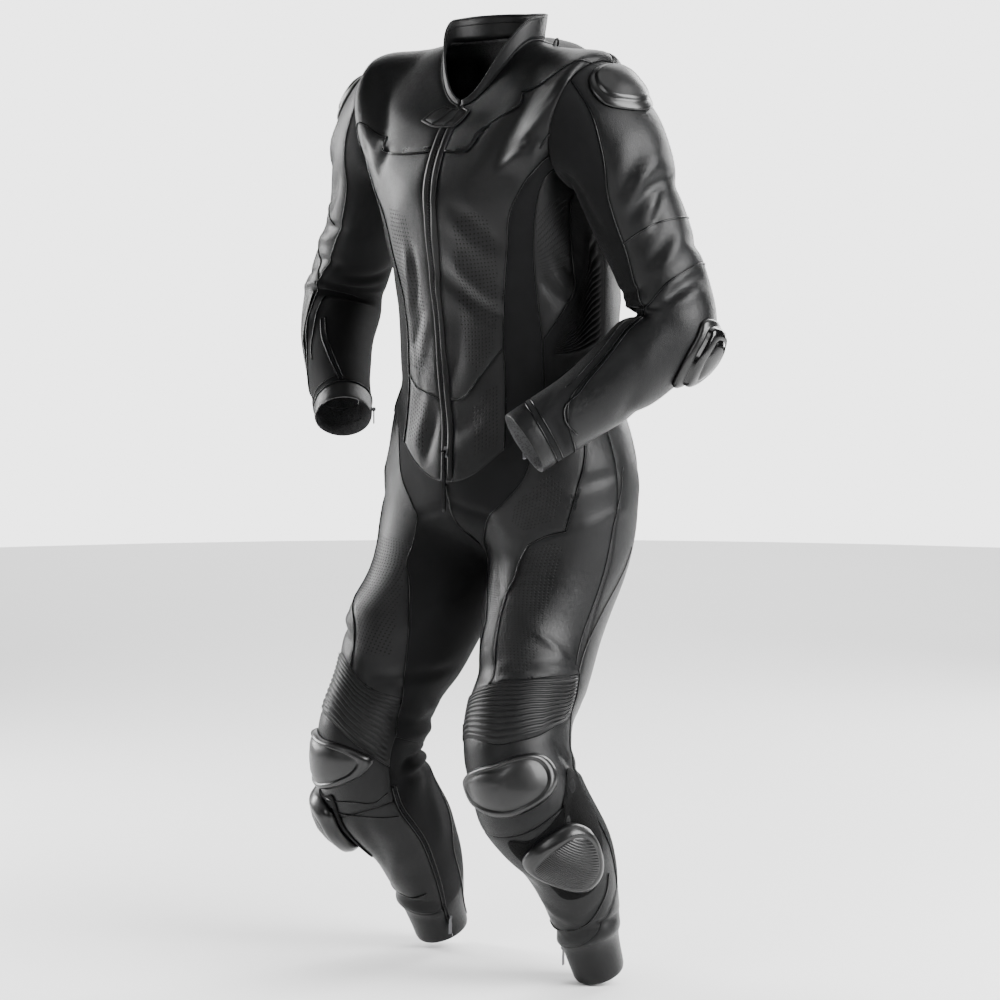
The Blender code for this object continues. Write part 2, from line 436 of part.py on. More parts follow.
# ---------------------------------------------------------------- the cut of each surface
class Cut:
    """One surface cut along its seams: points, triangles, and which piece each triangle is in."""

    def __init__(self, place, scale, seams, marks, seeds, span, cell):
        self.place, self.scale = place, scale
        lines = [(line, True) for line in seams] + [(line, False) for line in marks]
        flat, edges, keep = [], [], []
        for line, cuts in lines:
            first = len(flat)
            flat += [self.to_plane(a, b) for a, b in line]
            edges += [(first + i, first + i + 1) for i in range(len(line) - 1)]
            keep += [cuts] * (len(line) - 1)
        starts = np.array([flat[a] for a, _ in edges])
        ends = np.array([flat[b] for _, b in edges])
        grid = self.grid(span, cell)
        grid = grid[~near_lines(grid, starts, ends, 0.5 * min(cell))]
        flat += [tuple(point) for point in grid]
        verts, out_edges, faces, _, origin, _ = delaunay_2d_cdt(
            [Vector(point) for point in flat], edges, [], 0, 1e-7)
        cut = set()
        for (a, b), source in zip(out_edges, origin):
            if any(k < len(keep) and keep[k] for k in source):
                cut.add((min(a, b), max(a, b)))
        self.plane = np.array([tuple(v) for v in verts])
        self.faces = np.array([f for f in faces if len(f) == 3])
        along = self.plane[:, 1]
        self.where = np.stack([self.plane[:, 0] / scale(along), along], -1)
        self.label = self.flood(cut, seeds)

    def to_plane(self, a, b):
        return (a * float(self.scale(b)), float(b))

    def grid(self, span, cell):
        (a0, a1), (b0, b1) = span
        out = []
        rows = int(round((b1 - b0) / cell[1]))
        for i in range(1, rows):
            b = b0 + (b1 - b0) * i / rows
            wide = float(self.scale(b))
            count = int((a1 - a0) * wide / cell[0])
            for j in range(count + 1):
                out.append(((a0 + (a1 - a0) * (j + 0.5 * (i % 2)) / max(count, 1)) * wide, b))
        return np.array(out)

    def flood(self, cut, seeds):
        """Names the triangles that can be reached from each seed without crossing a seam."""
        sides = {}
        for i, face in enumerate(self.faces):
            for a, b in zip(face, np.roll(face, -1)):
                sides.setdefault((min(a, b), max(a, b)), []).append(i)
        next_to = [[] for _ in self.faces]
        for edge, pair in sides.items():
            if len(pair) == 2 and edge not in cut:
                next_to[pair[0]].append(pair[1])
                next_to[pair[1]].append(pair[0])
        corners = self.plane[self.faces]
        label = np.full(len(self.faces), -1)
        self.names = list(seeds)
        for number, name in enumerate(self.names):
            point = np.array(self.to_plane(*seeds[name]))
            first = self.holds(corners, point)
            if first < 0 or label[first] >= 0:
                raise ValueError("the seed of %s lies outside or in another piece" % name)
            stack = [first]
            label[first] = number
            while stack:
                for j in next_to[stack.pop()]:
                    if label[j] < 0:
                        label[j] = number
                        stack.append(j)
        return label

    @staticmethod
    def holds(corners, point):
        a, b, c = corners[:, 0], corners[:, 1], corners[:, 2]
        def turn(p, q):
            return (q[:, 0] - p[:, 0]) * (point[1] - p[:, 1]) - (q[:, 1] - p[:, 1]) * (point[0] - p[:, 0])
        d = np.stack([turn(a, b), turn(b, c), turn(c, a)], -1)
        found = np.nonzero((d >= 0).all(1) | (d <= 0).all(1))[0]
        return int(found[0]) if len(found) else -1


# ---------------------------------------------------------------- the three surfaces
TORSO_SCALE = ((0.0, 0.0029), (0.45, 0.0029), (0.545, 0.0021), (0.585, 0.0015))
LEG_SCALE = ((0.0, 0.58), (0.225, 0.56), (0.45, 0.50), (0.60, 0.48), (0.70, 0.42), (0.80, 0.30),
             (0.87, 0.25))
SLEEVE_SCALE = ((0.0, 0.565), (0.1, 0.46), (0.2, 0.39), (0.33, 0.39), (0.4, 0.365), (0.5, 0.305),
                (0.62, 0.285))

# Large soft folds: surface, middle (round, along), half length, half width in metres, direction of
# the crease (degrees from round towards along), lift (a trough where negative).
FOLDS = (
    ("leg_left", 0.10, 0.415, 0.070, 0.020, 8, -0.0050),
    ("leg_left", 0.02, 0.330, 0.075, 0.024, 70, -0.0045),
    ("leg_left", 0.62, 0.440, 0.070, 0.020, -8, -0.0050),
    ("leg_right", 0.10, 0.200, 0.080, 0.026, 75, -0.0045),
    ("leg_right", 0.62, 0.440, 0.070, 0.020, -8, -0.0050),
    ("leg_right", -0.10, 0.420, 0.060, 0.020, 10, -0.0050),
    ("sleeve_left", 0.10, 0.345, 0.055, 0.018, 10, -0.0050),
    ("sleeve_left", 0.45, 0.170, 0.055, 0.018, -30, -0.0035),
    ("sleeve_right", 0.10, 0.330, 0.055, 0.018, 10, -0.0050),
    ("torso", 60, 0.060, 0.080, 0.024, 20, -0.0040),
    ("torso", -60, 0.060, 0.080, 0.024, -20, -0.0040),
    ("torso", 180, 0.110, 0.110, 0.030, 0, -0.0045),
)


def scale_of(table):
    table = np.array(table)
    return lambda b: np.interp(b, table[:, 0], table[:, 1])


def closed_rows(rows, scale, step):
    """Points of a closed outline, with all its rows kept."""
    rows = [tuple(map(float, row)) for row in rows]
    looped = rows[-2:] + rows + rows[:3]
    points = smooth_rows(looped, scale, step)
    first = points.index(rows[0], points.index(rows[-1]))
    last = points.index(rows[0], first + 1)
    return points[first:last + 1]


def plate_rows(name, surface):
    """A plate's outline on one surface."""
    return [(a, b + PLATE_SHIFT.get((name, surface), 0.0)) for a, b in PLATES[name][0]]


def plate_marks(names, surface, scale, step):
    out = []
    for name in names:
        outline = plate_rows(name, surface)
        for factor, _ in PLATES[name][1]:
            out.append(closed_rows(scaled(outline, factor, PLATE_PEAK.get(name)), scale, step))
    return out


def rib_rows(top, foot, count, scale, step, trim):
    """Crests and valleys between two edges, each as a line, and the lift that goes with it."""
    top, foot = np.array(top), np.array(foot)
    low = max(top[0, 0], foot[0, 0]) + trim
    high = min(top[-1, 0], foot[-1, 0]) - trim
    middle = 0.5 * (low + high)
    parts = max(2, int(np.ceil((high - low) * float(scale(np.interp(middle, top[:, 0], top[:, 1])))
                               / step)))
    lines = []
    for k in range(1, 2 * count):
        t = k / (2 * count)
        line = []
        for j in range(parts + 1):
            a = low + (high - low) * j / parts
            line.append((a, float(np.interp(a, top[:, 0], top[:, 1]) * (1 - t)
                                  + np.interp(a, foot[:, 0], foot[:, 1]) * t)))
        lines.append((line, RIB_HEIGHT if k % 2 else 0.0))
    return lines


def torso_cut(step, cell):
    scale = scale_of(TORSO_SCALE)
    curve = lambda rows, side, shift=0.0: smooth_rows(torso_rows(rows, side, shift), scale, step)
    waist = sorted([-262.5 + 7.5 * k for k in range(49)] + [-2.5, 2.5])
    neck = sorted([-255.0 + 15 * k for k in range(25)] + [-4.5, -1.5, 1.5, 4.5])
    hole_line = lambda side, first, last, shift=0.0: torso_rows(
        [("hole", k) for k in range(first, last + 1)], side, shift)
    seams = [[(d, 0.0) for d in waist], [(d, TORSO_TOP) for d in neck]]
    seams += [curve(FLANK_SEAM, 1), curve(FLANK_SEAM, 1, -360), curve(FLANK_SEAM, -1)]
    seams += [curve(SHOULDER_SEAM, 1), curve(SHOULDER_SEAM, 1, -360), curve(SHOULDER_SEAM, -1)]
    seams += [hole_line(1, -1, 13), hole_line(1, 13, 23, -360), hole_line(-1, 0, 24)]
    for side in (1, -1):
        stops_here = [zip_edge(h, side) for h in ZIP_STOPS]
        seams.append(smooth_rows(stops_here, scale, step))
        for rows in (YOKE_SEAM[side], CHEST_SEAM[side], STRIP_INNER, STRIP_OUTER, SIDE_SEAM):
            seams.append(curve(rows, side))
    marks = plate_marks(("back_hump",), "torso", scale, step)
    marks += plate_marks(("collar_tab",), "torso", scale, 0.9 * step)
    ribs = []
    for side in (1, -1):
        top = [(side * a, b) for a, b in FLANK_TOP][::side]
        foot = [(side * a, b) for a, b in FLANK_FOOT][::side]
        ribs += rib_rows(top, foot, FLANK_RIBS, scale, step, 3.5)
    marks += [line for line, _ in ribs]
    seeds = {"zip_band": (0, 0.30), "yoke_left": (20, 0.53), "yoke_right": (-20, 0.53),
             "chest_left": (20, 0.30), "chest_right": (-20, 0.30), "belly_left": (15, 0.05),
             "belly_right": (-15, 0.05), "strip_left": (45, 0.29), "strip_right": (-45, 0.29),
             "side_front_left": (66, 0.25), "side_front_right": (-66, 0.25),
             "flank_left": (74, 0.06), "flank_right": (-74, 0.06), "back": (-180, 0.25)}
    return Cut(torso, scale, seams, marks, seeds, ((-262.5, 105.0), (0.0, TORSO_TOP)), cell), ribs


def leg_cut(side, step, cell):
    scale = scale_of(LEG_SCALE)
    curve = lambda rows: smooth_rows(rows, scale, step)
    word, length = SIDE_NAMES[side], LEG_LENGTH[side]
    waist = sorted([k / LATTICE for k in range(LATTICE + 1)] + [2.5 / 180])
    middle = stops((0.0, CROTCH), step)
    cut = stops((CROTCH, KNEE_BACK), step)
    zip_line = stops((KNEE_BACK, RIBS_BOTTOM[side][0][1], KNEE_SEAM[0][1], ANKLE_AT, length), step)
    seams = [[(u, 0.0) for u in waist], [(0.0, s) for s in middle], [(1.0, s) for s in middle],
             straight(-0.25, CROTCH, 0.0, CROTCH, 6), straight(0.75, CROTCH, 1.0, CROTCH, 6),
             [(-0.25, s) for s in cut], [(0.75, s) for s in cut],
             straight(-0.25, KNEE_BACK, 0.0, KNEE_BACK, 6),
             straight(0.5, KNEE_BACK, 1.0, KNEE_BACK, 12),
             [(0.0, s) for s in zip_line], [(1.0, s) for s in zip_line],
             straight(0.0, length, 1.0, length, LATTICE // 2)]
    seams += [curve(rows) for rows in (LEG_INNER[side], LEG_FRONT[side], LEG_SIDE, RIBS_TOP[side],
                                       RIBS_BOTTOM[side], KNEE_SEAM, ANKLE_SEAM)]
    marks = plate_marks(LEG_PLATES, "leg_" + word, scale, 0.86 * step)
    ribs = rib_rows(RIBS_TOP[side], RIBS_BOTTOM[side], KNEE_RIBS, scale, step, 0.008)
    marks += [line for line, _ in ribs]
    front = (0.17, 0.20) if side > 0 else (0.27, 0.22)
    seeds = {"inner": (0.0, 0.30), "thigh_front": front, "thigh_side": (0.42, 0.20),
             "seat": (0.70, 0.15), "knee_ribs": (0.25, 0.462), "knee": (0.25, 0.55),
             "shin": (0.25, 0.72), "calf": (0.75, 0.65), "ankle_cuff": (0.25, 0.83)}
    seeds = {"leg_%s_%s" % (key, word): place for key, place in seeds.items()}
    place = lambda a, b: leg(a, b, side)
    return Cut(place, scale, seams, marks, seeds, ((-0.25, 1.0), (0.0, length)), cell), ribs


def sleeve_cut(side, step, cell):
    scale = scale_of(SLEEVE_SCALE)
    word, length = SIDE_NAMES[side], SLEEVE_LENGTH[side]
    shorter = FOREARM_SCALE[side]
    forearm = [(u, round(s * shorter, 5)) for u, s in FOREARM_SEAM]
    cuff = [(u, round(s * shorter, 5)) for u, s in CUFF_SEAM]
    front = list(SLEEVE_FRONT[side])
    front[-1] = forearm[6]
    curve = lambda rows: smooth_rows(rows, scale, step)
    edge = stops((0.0, forearm[0][1], forearm[-1][1], cuff[0][1], length), step)
    hole_line = [(k / LATTICE - 0.25, 0.0) for k in range(LATTICE + 1)]
    seams = [hole_line, [(-0.25, s) for s in edge], [(0.75, s) for s in edge],
             straight(-0.25, length, 0.75, length, LATTICE // 2), curve(front), curve(forearm),
             curve(cuff)]
    marks = plate_marks(SLEEVE_PLATES, "sleeve_" + word, scale, 0.8 * step)
    seeds = {"inner": (0.0, 0.30), "upper": (0.5, 0.15), "forearm": (0.45, 0.45 * shorter),
             "cuff": (0.25, 0.605 * shorter)}
    seeds = {"sleeve_%s_%s" % (key, word): place for key, place in seeds.items()}
    place = lambda a, b: sleeve(a, b, side)
    return Cut(place, scale, seams, marks, seeds, ((-0.25, 0.75), (0.0, length)), cell), []


def raw_normals(cut, sign, steps):
    """Outward normals of a surface, from small steps round it and along it."""
    a, b = cut.where.T
    round_it = cut.place(a + steps[0], b) - cut.place(a - steps[0], b)
    along_it = cut.place(a, b + steps[1]) - cut.place(a, b - steps[1])
    return unit(sign * np.cross(round_it, along_it))


def fold_lift(surface, where, scale):
    """The sum of the soft folds of one surface, in metres out."""
    lift = np.zeros(len(where))
    for name, a, b, half_length, half_width, direction, height in FOLDS:
        if name != surface:
            continue
        away = where[:, 0] - a
        if name == "torso":
            away = (away + 180) % 360 - 180
        x, y = away * scale(where[:, 1]), where[:, 1] - b
        c, s = np.cos(np.radians(direction)), np.sin(np.radians(direction))
        u, v = (x * c + y * s) / half_length, (y * c - x * s) / half_width
        lift += height * np.exp(-u ** 4 - v * v)
    return lift


def rib_lift(cut, ribs):
    """Lift of the points that lie on rib crests."""
    lift = np.zeros(len(cut.plane))
    crests = [np.array([cut.to_plane(a, b) for a, b in line[1:-1]]) for line, up in ribs if up > 0]
    if crests:
        crests = np.concatenate(crests)
        for i, point in enumerate(cut.plane):
            if np.hypot(*(crests - point).T).min() < 2e-5:
                lift[i] = RIB_HEIGHT
    return lift


class Surface:
    """A cut surface in space: points, outward normals, and lift of the outer side."""

    def __init__(self, name, cut, ribs, sign, steps, fade):
        self.name, self.cut, self.flip = name, cut, sign < 0
        self.points = cut.place(cut.where[:, 0], cut.where[:, 1])
        self.normals = raw_normals(cut, sign, steps)
        used = np.unique(cut.faces[cut.label >= 0])
        self.used = np.zeros(len(self.points), bool)
        self.used[used] = True
        b = cut.where[:, 1]
        edge = ease((b - fade[0]) / 0.03) * ease((fade[1] - b) / 0.03)
        self.fold = fold_lift(name, cut.where, cut.scale) * edge
        self.ribs = rib_lift(cut, ribs)


def share_normals(surfaces, extra):
    """Where surfaces meet, their points get one normal, so that the walls stand side by side."""
    points = np.concatenate([s.points for s in surfaces] + [extra[0]])
    normals = np.concatenate([s.normals for s in surfaces] + [extra[1]])
    used = np.concatenate([s.used for s in surfaces] + [np.ones(len(extra[0]), bool)])
    tree = KDTree(len(points))
    for i, point in enumerate(points):
        if used[i]:
            tree.insert(Vector(point), i)
    tree.balance()
    shared = normals.copy()
    for i, point in enumerate(points):
        group = [hit[1] for hit in tree.find_range(Vector(point), 3e-5)]
        if used[i] and len(group) > 1:
            total = normals[group].mean(0)
            if abs(point[0]) < 1e-6:
                total[0] = 0.0
            length = np.linalg.norm(total)
            shared[i] = total / length if length > 0.35 else (0.0, 0.0, -1.0)
    at = 0
    for s in surfaces:
        s.normals = shared[at:at + len(s.points)]
        at += len(s.points)
    return shared[at:]


# ---------------------------------------------------------------- solids
def material(name, colour, roughness, metallic=0.0):
    mat = bpy.data.materials.new(name)
    mat.use_nodes = True
    shader = mat.node_tree.nodes["Principled BSDF"]
    shader.inputs["Base Color"].default_value = (*colour, 1.0)
    shader.inputs["Roughness"].default_value = roughness
    shader.inputs["Metallic"].default_value = metallic
    mat.diffuse_color = (*colour, 1.0)
    return mat


def add_object(collection, name, points, faces, mat, smooth=True):
    mesh = bpy.data.meshes.new(name)
    mesh.from_pydata([tuple(p) for p in points], [], [tuple(int(i) for i in f) for f in faces])
    mesh.update()
    mesh.materials.append(mat)
    mesh.polygons.foreach_set("use_smooth", [smooth] * len(mesh.polygons))
    obj = bpy.data.objects.new(name, mesh)
    collection.objects.link(obj)
    return obj


def outline_edges(faces):
    """Directed edges that only one triangle has, with that triangle on their left."""
    seen = {}
    for face in faces:
        for a, b in zip(face, np.roll(face, -1)):
            seen[(int(a), int(b))] = True
    return [edge for edge in seen if (edge[1], edge[0]) not in seen]


def inset(points, normals, edges, gap):
    """How far each outline point moves into its own piece, so that every edge draws back by gap."""
    move = np.zeros_like(points)
    sides = {}
    for a, b in edges:
        along = points[b] - points[a]
        for i in (a, b):
            inward = np.cross(normals[i], along)
            sides.setdefault(i, []).append(inward / max(np.linalg.norm(inward), 1e-12))
    for i, (m, n) in sides.items():
        move[i] = gap * (m + n) / max(1 + m @ n, 0.35)
    return move


def closed_wall(top, base, faces, edges, key=None):
    """A closed shell between two sheets of the same triangles."""
    key = top if key is None else key
    count = len(top)
    out = [tuple(face) for face in faces]
    out += [(face[0] + count, face[2] + count, face[1] + count) for face in faces]
    for a, b in edges:
        # the same diagonal is taken from both sides of a seam: down from its higher end
        high = tuple(np.round(key[a][::-1], 5)) > tuple(np.round(key[b][::-1], 5))
        if high:
            out += [(b, a, b + count), (a, a + count, b + count)]
        else:
            out += [(b, a, a + count), (b, a + count, b + count)]
    return np.concatenate([top, base]), out


def piece(surface, number):
    """Triangles of one piece, numbered among its own points."""
    faces = surface.cut.faces[surface.cut.label == number]
    if surface.flip:
        faces = faces[:, ::-1]
    own, index = np.unique(faces, return_inverse=True)
    return own, index.reshape(-1, 3)


def build_panel(collection, surface, number, wall, mat):
    own, faces = piece(surface, number)
    points = surface.points[own] + surface.normals[own] * surface.fold[own][:, None]
    normals = surface.normals[own]
    edges = outline_edges(faces)
    move = inset(points, normals, edges, SEAM_GAP / 2)
    ribs = surface.ribs[own].copy()
    ribs[[i for edge in edges for i in edge]] = 0.0
    top = points + move + normals * ribs[:, None]
    base = points + move - normals * wall
    points, faces = closed_wall(top, base, faces, edges, surface.points[own])
    return add_object(collection, surface.cut.names[number], points, faces, mat)


def build_plate(collection, surface, name, label, mat, push=None):
    """A plate or patch over the points inside its outline; its lift grows loop by loop."""
    outline, (_, loops, below) = plate_rows(name, surface.name), PLATES[name]
    cut = surface.cut
    ring_line = closed_rows(outline, cut.scale, 0.8 * SEAM_STEP)
    plane_line = [cut.to_plane(a, b) for a, b in ring_line]
    middles = cut.plane[cut.faces].mean(1)
    held = inside(middles, plane_line) & (cut.label >= 0)
    faces = cut.faces[held]
    if surface.flip:
        faces = faces[:, ::-1]
    own, index = np.unique(faces, return_inverse=True)
    faces = index.reshape(-1, 3)
    edges = outline_edges(faces)
    middle = np.array(PLATE_PEAK.get(name, np.array(outline, float).mean(0)))
    stretch = np.array([float(cut.scale(middle[1])), 1.0])
    away = (cut.where[own] - middle) * stretch
    rim = (np.array(closed_rows(outline, cut.scale, 0.004)) - middle) * stretch
    turn = np.arctan2(rim[:, 1], rim[:, 0])
    order = np.argsort(turn)
    reach = np.interp(np.arctan2(away[:, 1], away[:, 0]), turn[order],
                      np.hypot(*rim[order].T), period=2 * np.pi)
    part = np.hypot(*away.T) / np.maximum(reach, 1e-9)
    lift = np.interp(part, [f for f, _ in loops][::-1], [h for _, h in loops][::-1])
    normals = surface.normals[own]
    base = (surface.points[own]
            + normals * (surface.fold[own] + surface.ribs[own] + LIFT + below)[:, None])
    if push is None:
        top = base + normals * lift[:, None]
    else:
        blend = ease((lift - loops[0][1]) / 0.02)[:, None]
        top = base + lift[:, None] * unit(normals * (1 - 0.8 * blend) + np.array(push) * blend)
    points, faces = closed_wall(top, base, faces, edges)
    return add_object(collection, label, points, faces, mat)


def collar_grid(rows):
    """Outer points of the collar: round from one front end to the other, and up."""
    degrees = np.array([1.5, 4.5] + [15.0 * k for k in range(1, 24)] + [355.5, 358.5])
    folded = np.minimum(degrees, 360 - degrees)
    names = ("at", "height", "lean")
    height, lean = column(COLLAR, names, "height", folded), column(COLLAR, names, "lean", folded)
    base = torso(degrees, TORSO_TOP)
    middle = np.array([0.0, 0.012, 0.0])
    inward = unit((middle - base) * np.array([1.0, 1.0, 0.0]))
    grid = np.stack([base + np.array([0, 0, 1.0]) * (height * t)[:, None] + inward * (lean * t)[:, None]
                     for t in np.linspace(0, 1, rows)])
    return grid, -inward


def build_collar(collection, grid, normals, base_normals, mat):
    """A stand-up band of two sheets, closed at its ends, its top and its foot."""
    rows, count = grid.shape[:2]
    n = np.repeat(normals[None], rows, 0).copy()
    n[0] = base_normals
    lift = np.zeros((rows, count, 3))
    lift[0, :, 2] = 2.0 * SEAM_GAP
    points = (grid + lift).reshape(-1, 3)
    faces = []
    for i in range(rows - 1):
        for j in range(count - 1):
            a, b, c, d = i * count + j, i * count + j + 1, (i + 1) * count + j + 1, (i + 1) * count + j
            faces += [(a, b, c), (a, c, d)]
    faces = np.array(faces)
    edges = outline_edges(faces)
    base = points - n.reshape(-1, 3) * COLLAR_WALL
    points, faces = closed_wall(points, base, faces, edges)
    return add_object(collection, "collar", points, faces, mat)


# ---------------------------------------------------------------- zip slider and pull tabs
# Name: surface, round, along, distance of the hinge from the surface, and the tab's width, length,
# thickness and the radius of its barrel. Every tab hangs straight down from its hinge, and its
# barrel all but touches what carries it.
PULLS = {
    "zip_pull": ("torso", 0.0, 0.036, 0.0083, 0.0060, 0.088, 0.0022, 0.0028),
    "cuff_pull_left": ("sleeve_left", -1 / 12, 0.606, 0.0031, 0.0050, 0.022, 0.0018, 0.0032),
    "cuff_pull_right": ("sleeve_right", -1 / 12, 0.573, 0.0032, 0.0050, 0.022, 0.0018, 0.0032),
    "calf_pull_left": ("leg_left", 1.0, 0.8183, 0.0037, 0.0055, 0.026, 0.0018, 0.0032),
    "calf_pull_right": ("leg_right", 0.985, 0.812, 0.0037, 0.0055, 0.026, 0.0018, 0.0032),
}
SLIDER_SIZE = (0.0090, 0.0160, 0.0042)     # width, length, height
SLIDER_AT = 0.036


def level_frame(normal):
    """Across and outwards, both level, for a thing that hangs on a wall."""
    out = unit(np.array([normal[0], normal[1], 0.0]))
    return np.cross(out, np.array([0.0, 0.0, 1.0])), out


def tab_profile(barrel, length, thick):
    """Side view (outwards, up) and width share: a round barrel on the hinge, a strip below it."""
    start = np.arcsin(0.5 * thick / barrel)
    turns = np.linspace(start, 2 * np.pi - start, 11)
    rows = [(barrel * np.sin(t), -barrel * np.cos(t), 0.80) for t in turns]
    half = 0.5 * thick
    strip = [(half, -0.30 * length, 0.85), (half, -0.40 * length, 1.0), (half, -0.94 * length, 1.0),
             (0.5 * half, -length, 0.80)]
    return rows + [(-x, z, w) for x, z, w in strip] + strip[::-1]


def build_tab(collection, name, hinge, across, out, size, mat):
    width, length, thick, barrel = size
    up = np.array([0.0, 0.0, 1.0])
    profile = tab_profile(barrel, length, thick)
    middle = np.array([hinge + out * x + up * z for x, z, _ in profile])
    half = np.array([0.5 * width * w for _, _, w in profile])[:, None]
    points = np.concatenate([middle + across * half, middle - across * half])
    count = len(profile)
    faces = []
    for i in range(count):
        j = (i + 1) % count
        faces.append((j, i, i + count, j + count))
    # each side is closed in strips, so that no face spans a bend
    ring_last, rest = 10, list(range(11, count))
    for shift in (0, count):
        faces += [(shift, shift + i, shift + i + 1) for i in range(1, ring_last)]
        left = [ring_last] + rest[:4]
        right = [0] + rest[:3:-1]
        for i in range(4):
            faces.append((shift + left[i], shift + left[i + 1], shift + right[i + 1],
                          shift + right[i]))
    obj = add_object(collection, name, points, faces, mat, False)
    fix_normals(obj)
    return obj


def fix_normals(obj):
    mesh = bmesh.new()
    mesh.from_mesh(obj.data)
    bmesh.ops.recalc_face_normals(mesh, faces=mesh.faces)
    mesh.to_mesh(obj.data)
    mesh.free()


def build_slider(collection, point, normal, mat):
    """The slider of the front zip: a block with a raised bridge, narrower at its foot."""
    up = unit(np.array([0.0, 0.0, 1.0]) - normal * normal[2])
    across = np.cross(up, normal)
    width, length, high = SLIDER_SIZE
    profile = ((-0.5, 0.62, 0.0), (-0.5, 0.62, 0.45), (-0.30, 0.85, 0.80), (0.0, 0.60, 1.0),
               (0.30, 0.95, 0.80), (0.5, 1.0, 0.45), (0.5, 1.0, 0.0))
    start = point + normal * 0.0009
    left = [start + up * a * length - across * 0.5 * width * w + normal * h * high
            for a, w, h in profile]
    right = [start + up * a * length + across * 0.5 * width * w + normal * h * high
             for a, w, h in profile]
    count = len(profile)
    faces = [tuple(range(count)), tuple(range(2 * count - 1, count - 1, -1))]
    for i in range(count):
        j = (i + 1) % count
        faces.append((j, i, i + count, j + count))
    obj = add_object(collection, "zip_slider", np.array(left + right), faces, mat, False)
    fix_normals(obj)
    return obj


def surface_spot(surfaces, name, a, b):
    """Point and outward normal of a surface at one place."""
    found = next(s for s in surfaces if s.name == name)
    steps = (0.5, 0.001) if name == "torso" else (0.002, 0.001)
    place = found.cut.place
    a, b = np.array([float(a)]), np.array([float(b)])
    round_it = place(a + steps[0], b) - place(a - steps[0], b)
    along_it = place(a, b + steps[1]) - place(a, b - steps[1])
    normal = unit(np.cross(round_it, along_it)) * (-1 if found.flip else 1)
    return place(a, b)[0], normal[0]


# ---------------------------------------------------------------- the suit
STRETCH = ("strip", "flank", "inner", "ribs")
LOOKS = {"leather": ((0.028, 0.029, 0.031), 0.42), "stretch": ((0.020, 0.021, 0.023), 0.85),
         "plate": ((0.022, 0.022, 0.024), 0.16), "hook_patch": ((0.012, 0.012, 0.013), 0.95),
         "metal": ((0.30, 0.30, 0.31), 0.35)}


def build_panels(collection, surfaces):
    for surface in surfaces:
        for number, name in enumerate(surface.cut.names):
            soft = any(word in name for word in STRETCH)
            mat = material(name, *LOOKS["stretch" if soft else "leather"])
            build_panel(collection, surface, number, STRETCH_WALL if soft else LEATHER_WALL, mat)


def build_plates(collection, surfaces):
    by_name = {s.name: s for s in surfaces}
    build_plate(collection, by_name["torso"], "back_hump", "back_hump",
                material("back_hump", *LOOKS["leather"]), (0.0, 0.80, 0.60))
    build_plate(collection, by_name["torso"], "collar_tab", "collar_tab",
                material("collar_tab", *LOOKS["leather"]))
    for side, word in SIDE_NAMES.items():
        for limb, names in (("sleeve", ("shoulder_cup", "elbow_slider")),
                            ("leg", ("knee_cup", "knee_patch", "knee_slider"))):
            for name in names:
                label = "%s_%s" % (name, word)
                look = LOOKS["hook_patch" if name == "knee_patch" else "plate"]
                build_plate(collection, by_name["%s_%s" % (limb, word)], name, label,
                            material(label, *look))


def build_fastenings(collection, surfaces):
    point, normal = surface_spot(surfaces, "torso", 0.0, SLIDER_AT)
    build_slider(collection, point, normal, material("zip_slider", *LOOKS["metal"], 1.0))
    for name, (surface, a, b, off, width, length, thick, barrel) in PULLS.items():
        point, normal = surface_spot(surfaces, surface, a, b)
        across, out = level_frame(normal)
        look = LOOKS["leather"] if name == "zip_pull" else LOOKS["metal"]
        build_tab(collection, name, point + normal * off, across, out,
                  (width, length, thick, barrel), material(name, *look))


def make_surfaces(step, cell):
    surfaces = []
    cut, ribs = torso_cut(step, cell)
    surfaces.append(Surface("torso", cut, ribs, 1, (0.5, 0.001), (0.0, TORSO_TOP)))
    for side, word in SIDE_NAMES.items():
        cut, ribs = leg_cut(side, step, cell)
        surfaces.append(Surface("leg_" + word, cut, ribs, -side, (0.002, 0.001), (0.0, 2.0)))
        cut, ribs = sleeve_cut(side, step, cell)
        surfaces.append(Surface("sleeve_" + word, cut, ribs, -side, (0.002, 0.001), (0.0, 2.0)))
    return surfaces


def clear_scene():
    for obj in list(bpy.data.objects):
        bpy.data.objects.remove(obj, do_unlink=True)


def main():
    clear_scene()
    collection = bpy.data.collections.new("motorcycle_race_suit")
    bpy.context.scene.collection.children.link(collection)
    surfaces = make_surfaces(SEAM_STEP, (CELL_ROUND, CELL_ALONG))
    grid, out = collar_grid(3)
    base_normals = share_normals(surfaces, (grid[0], out))
    build_panels(collection, surfaces)
    build_collar(collection, grid, out, base_normals, material("collar", *LOOKS["leather"]))
    build_plates(collection, surfaces)
    build_fastenings(collection, surfaces)


main()
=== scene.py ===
"""One-piece motorcycle race suit: the looks of every piece, in metres, +Z up, the suit facing -Y.

The suit is three kinds of surface: the torso, two legs and two sleeves. Each is a function of a
place round the body and a place along it. A surface is cut into its panels along seam lines, and
each panel becomes a thin closed shell: its outer sheet carries the folds, the ribs and the roll of
its sewn edges, and its inner sheet is plain. Plates, piping and stitches follow the same surfaces.
"""

import bpy
import numpy as np
from bpy.props import FloatProperty, FloatVectorProperty, PointerProperty
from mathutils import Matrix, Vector
from mathutils.geometry import delaunay_2d_cdt


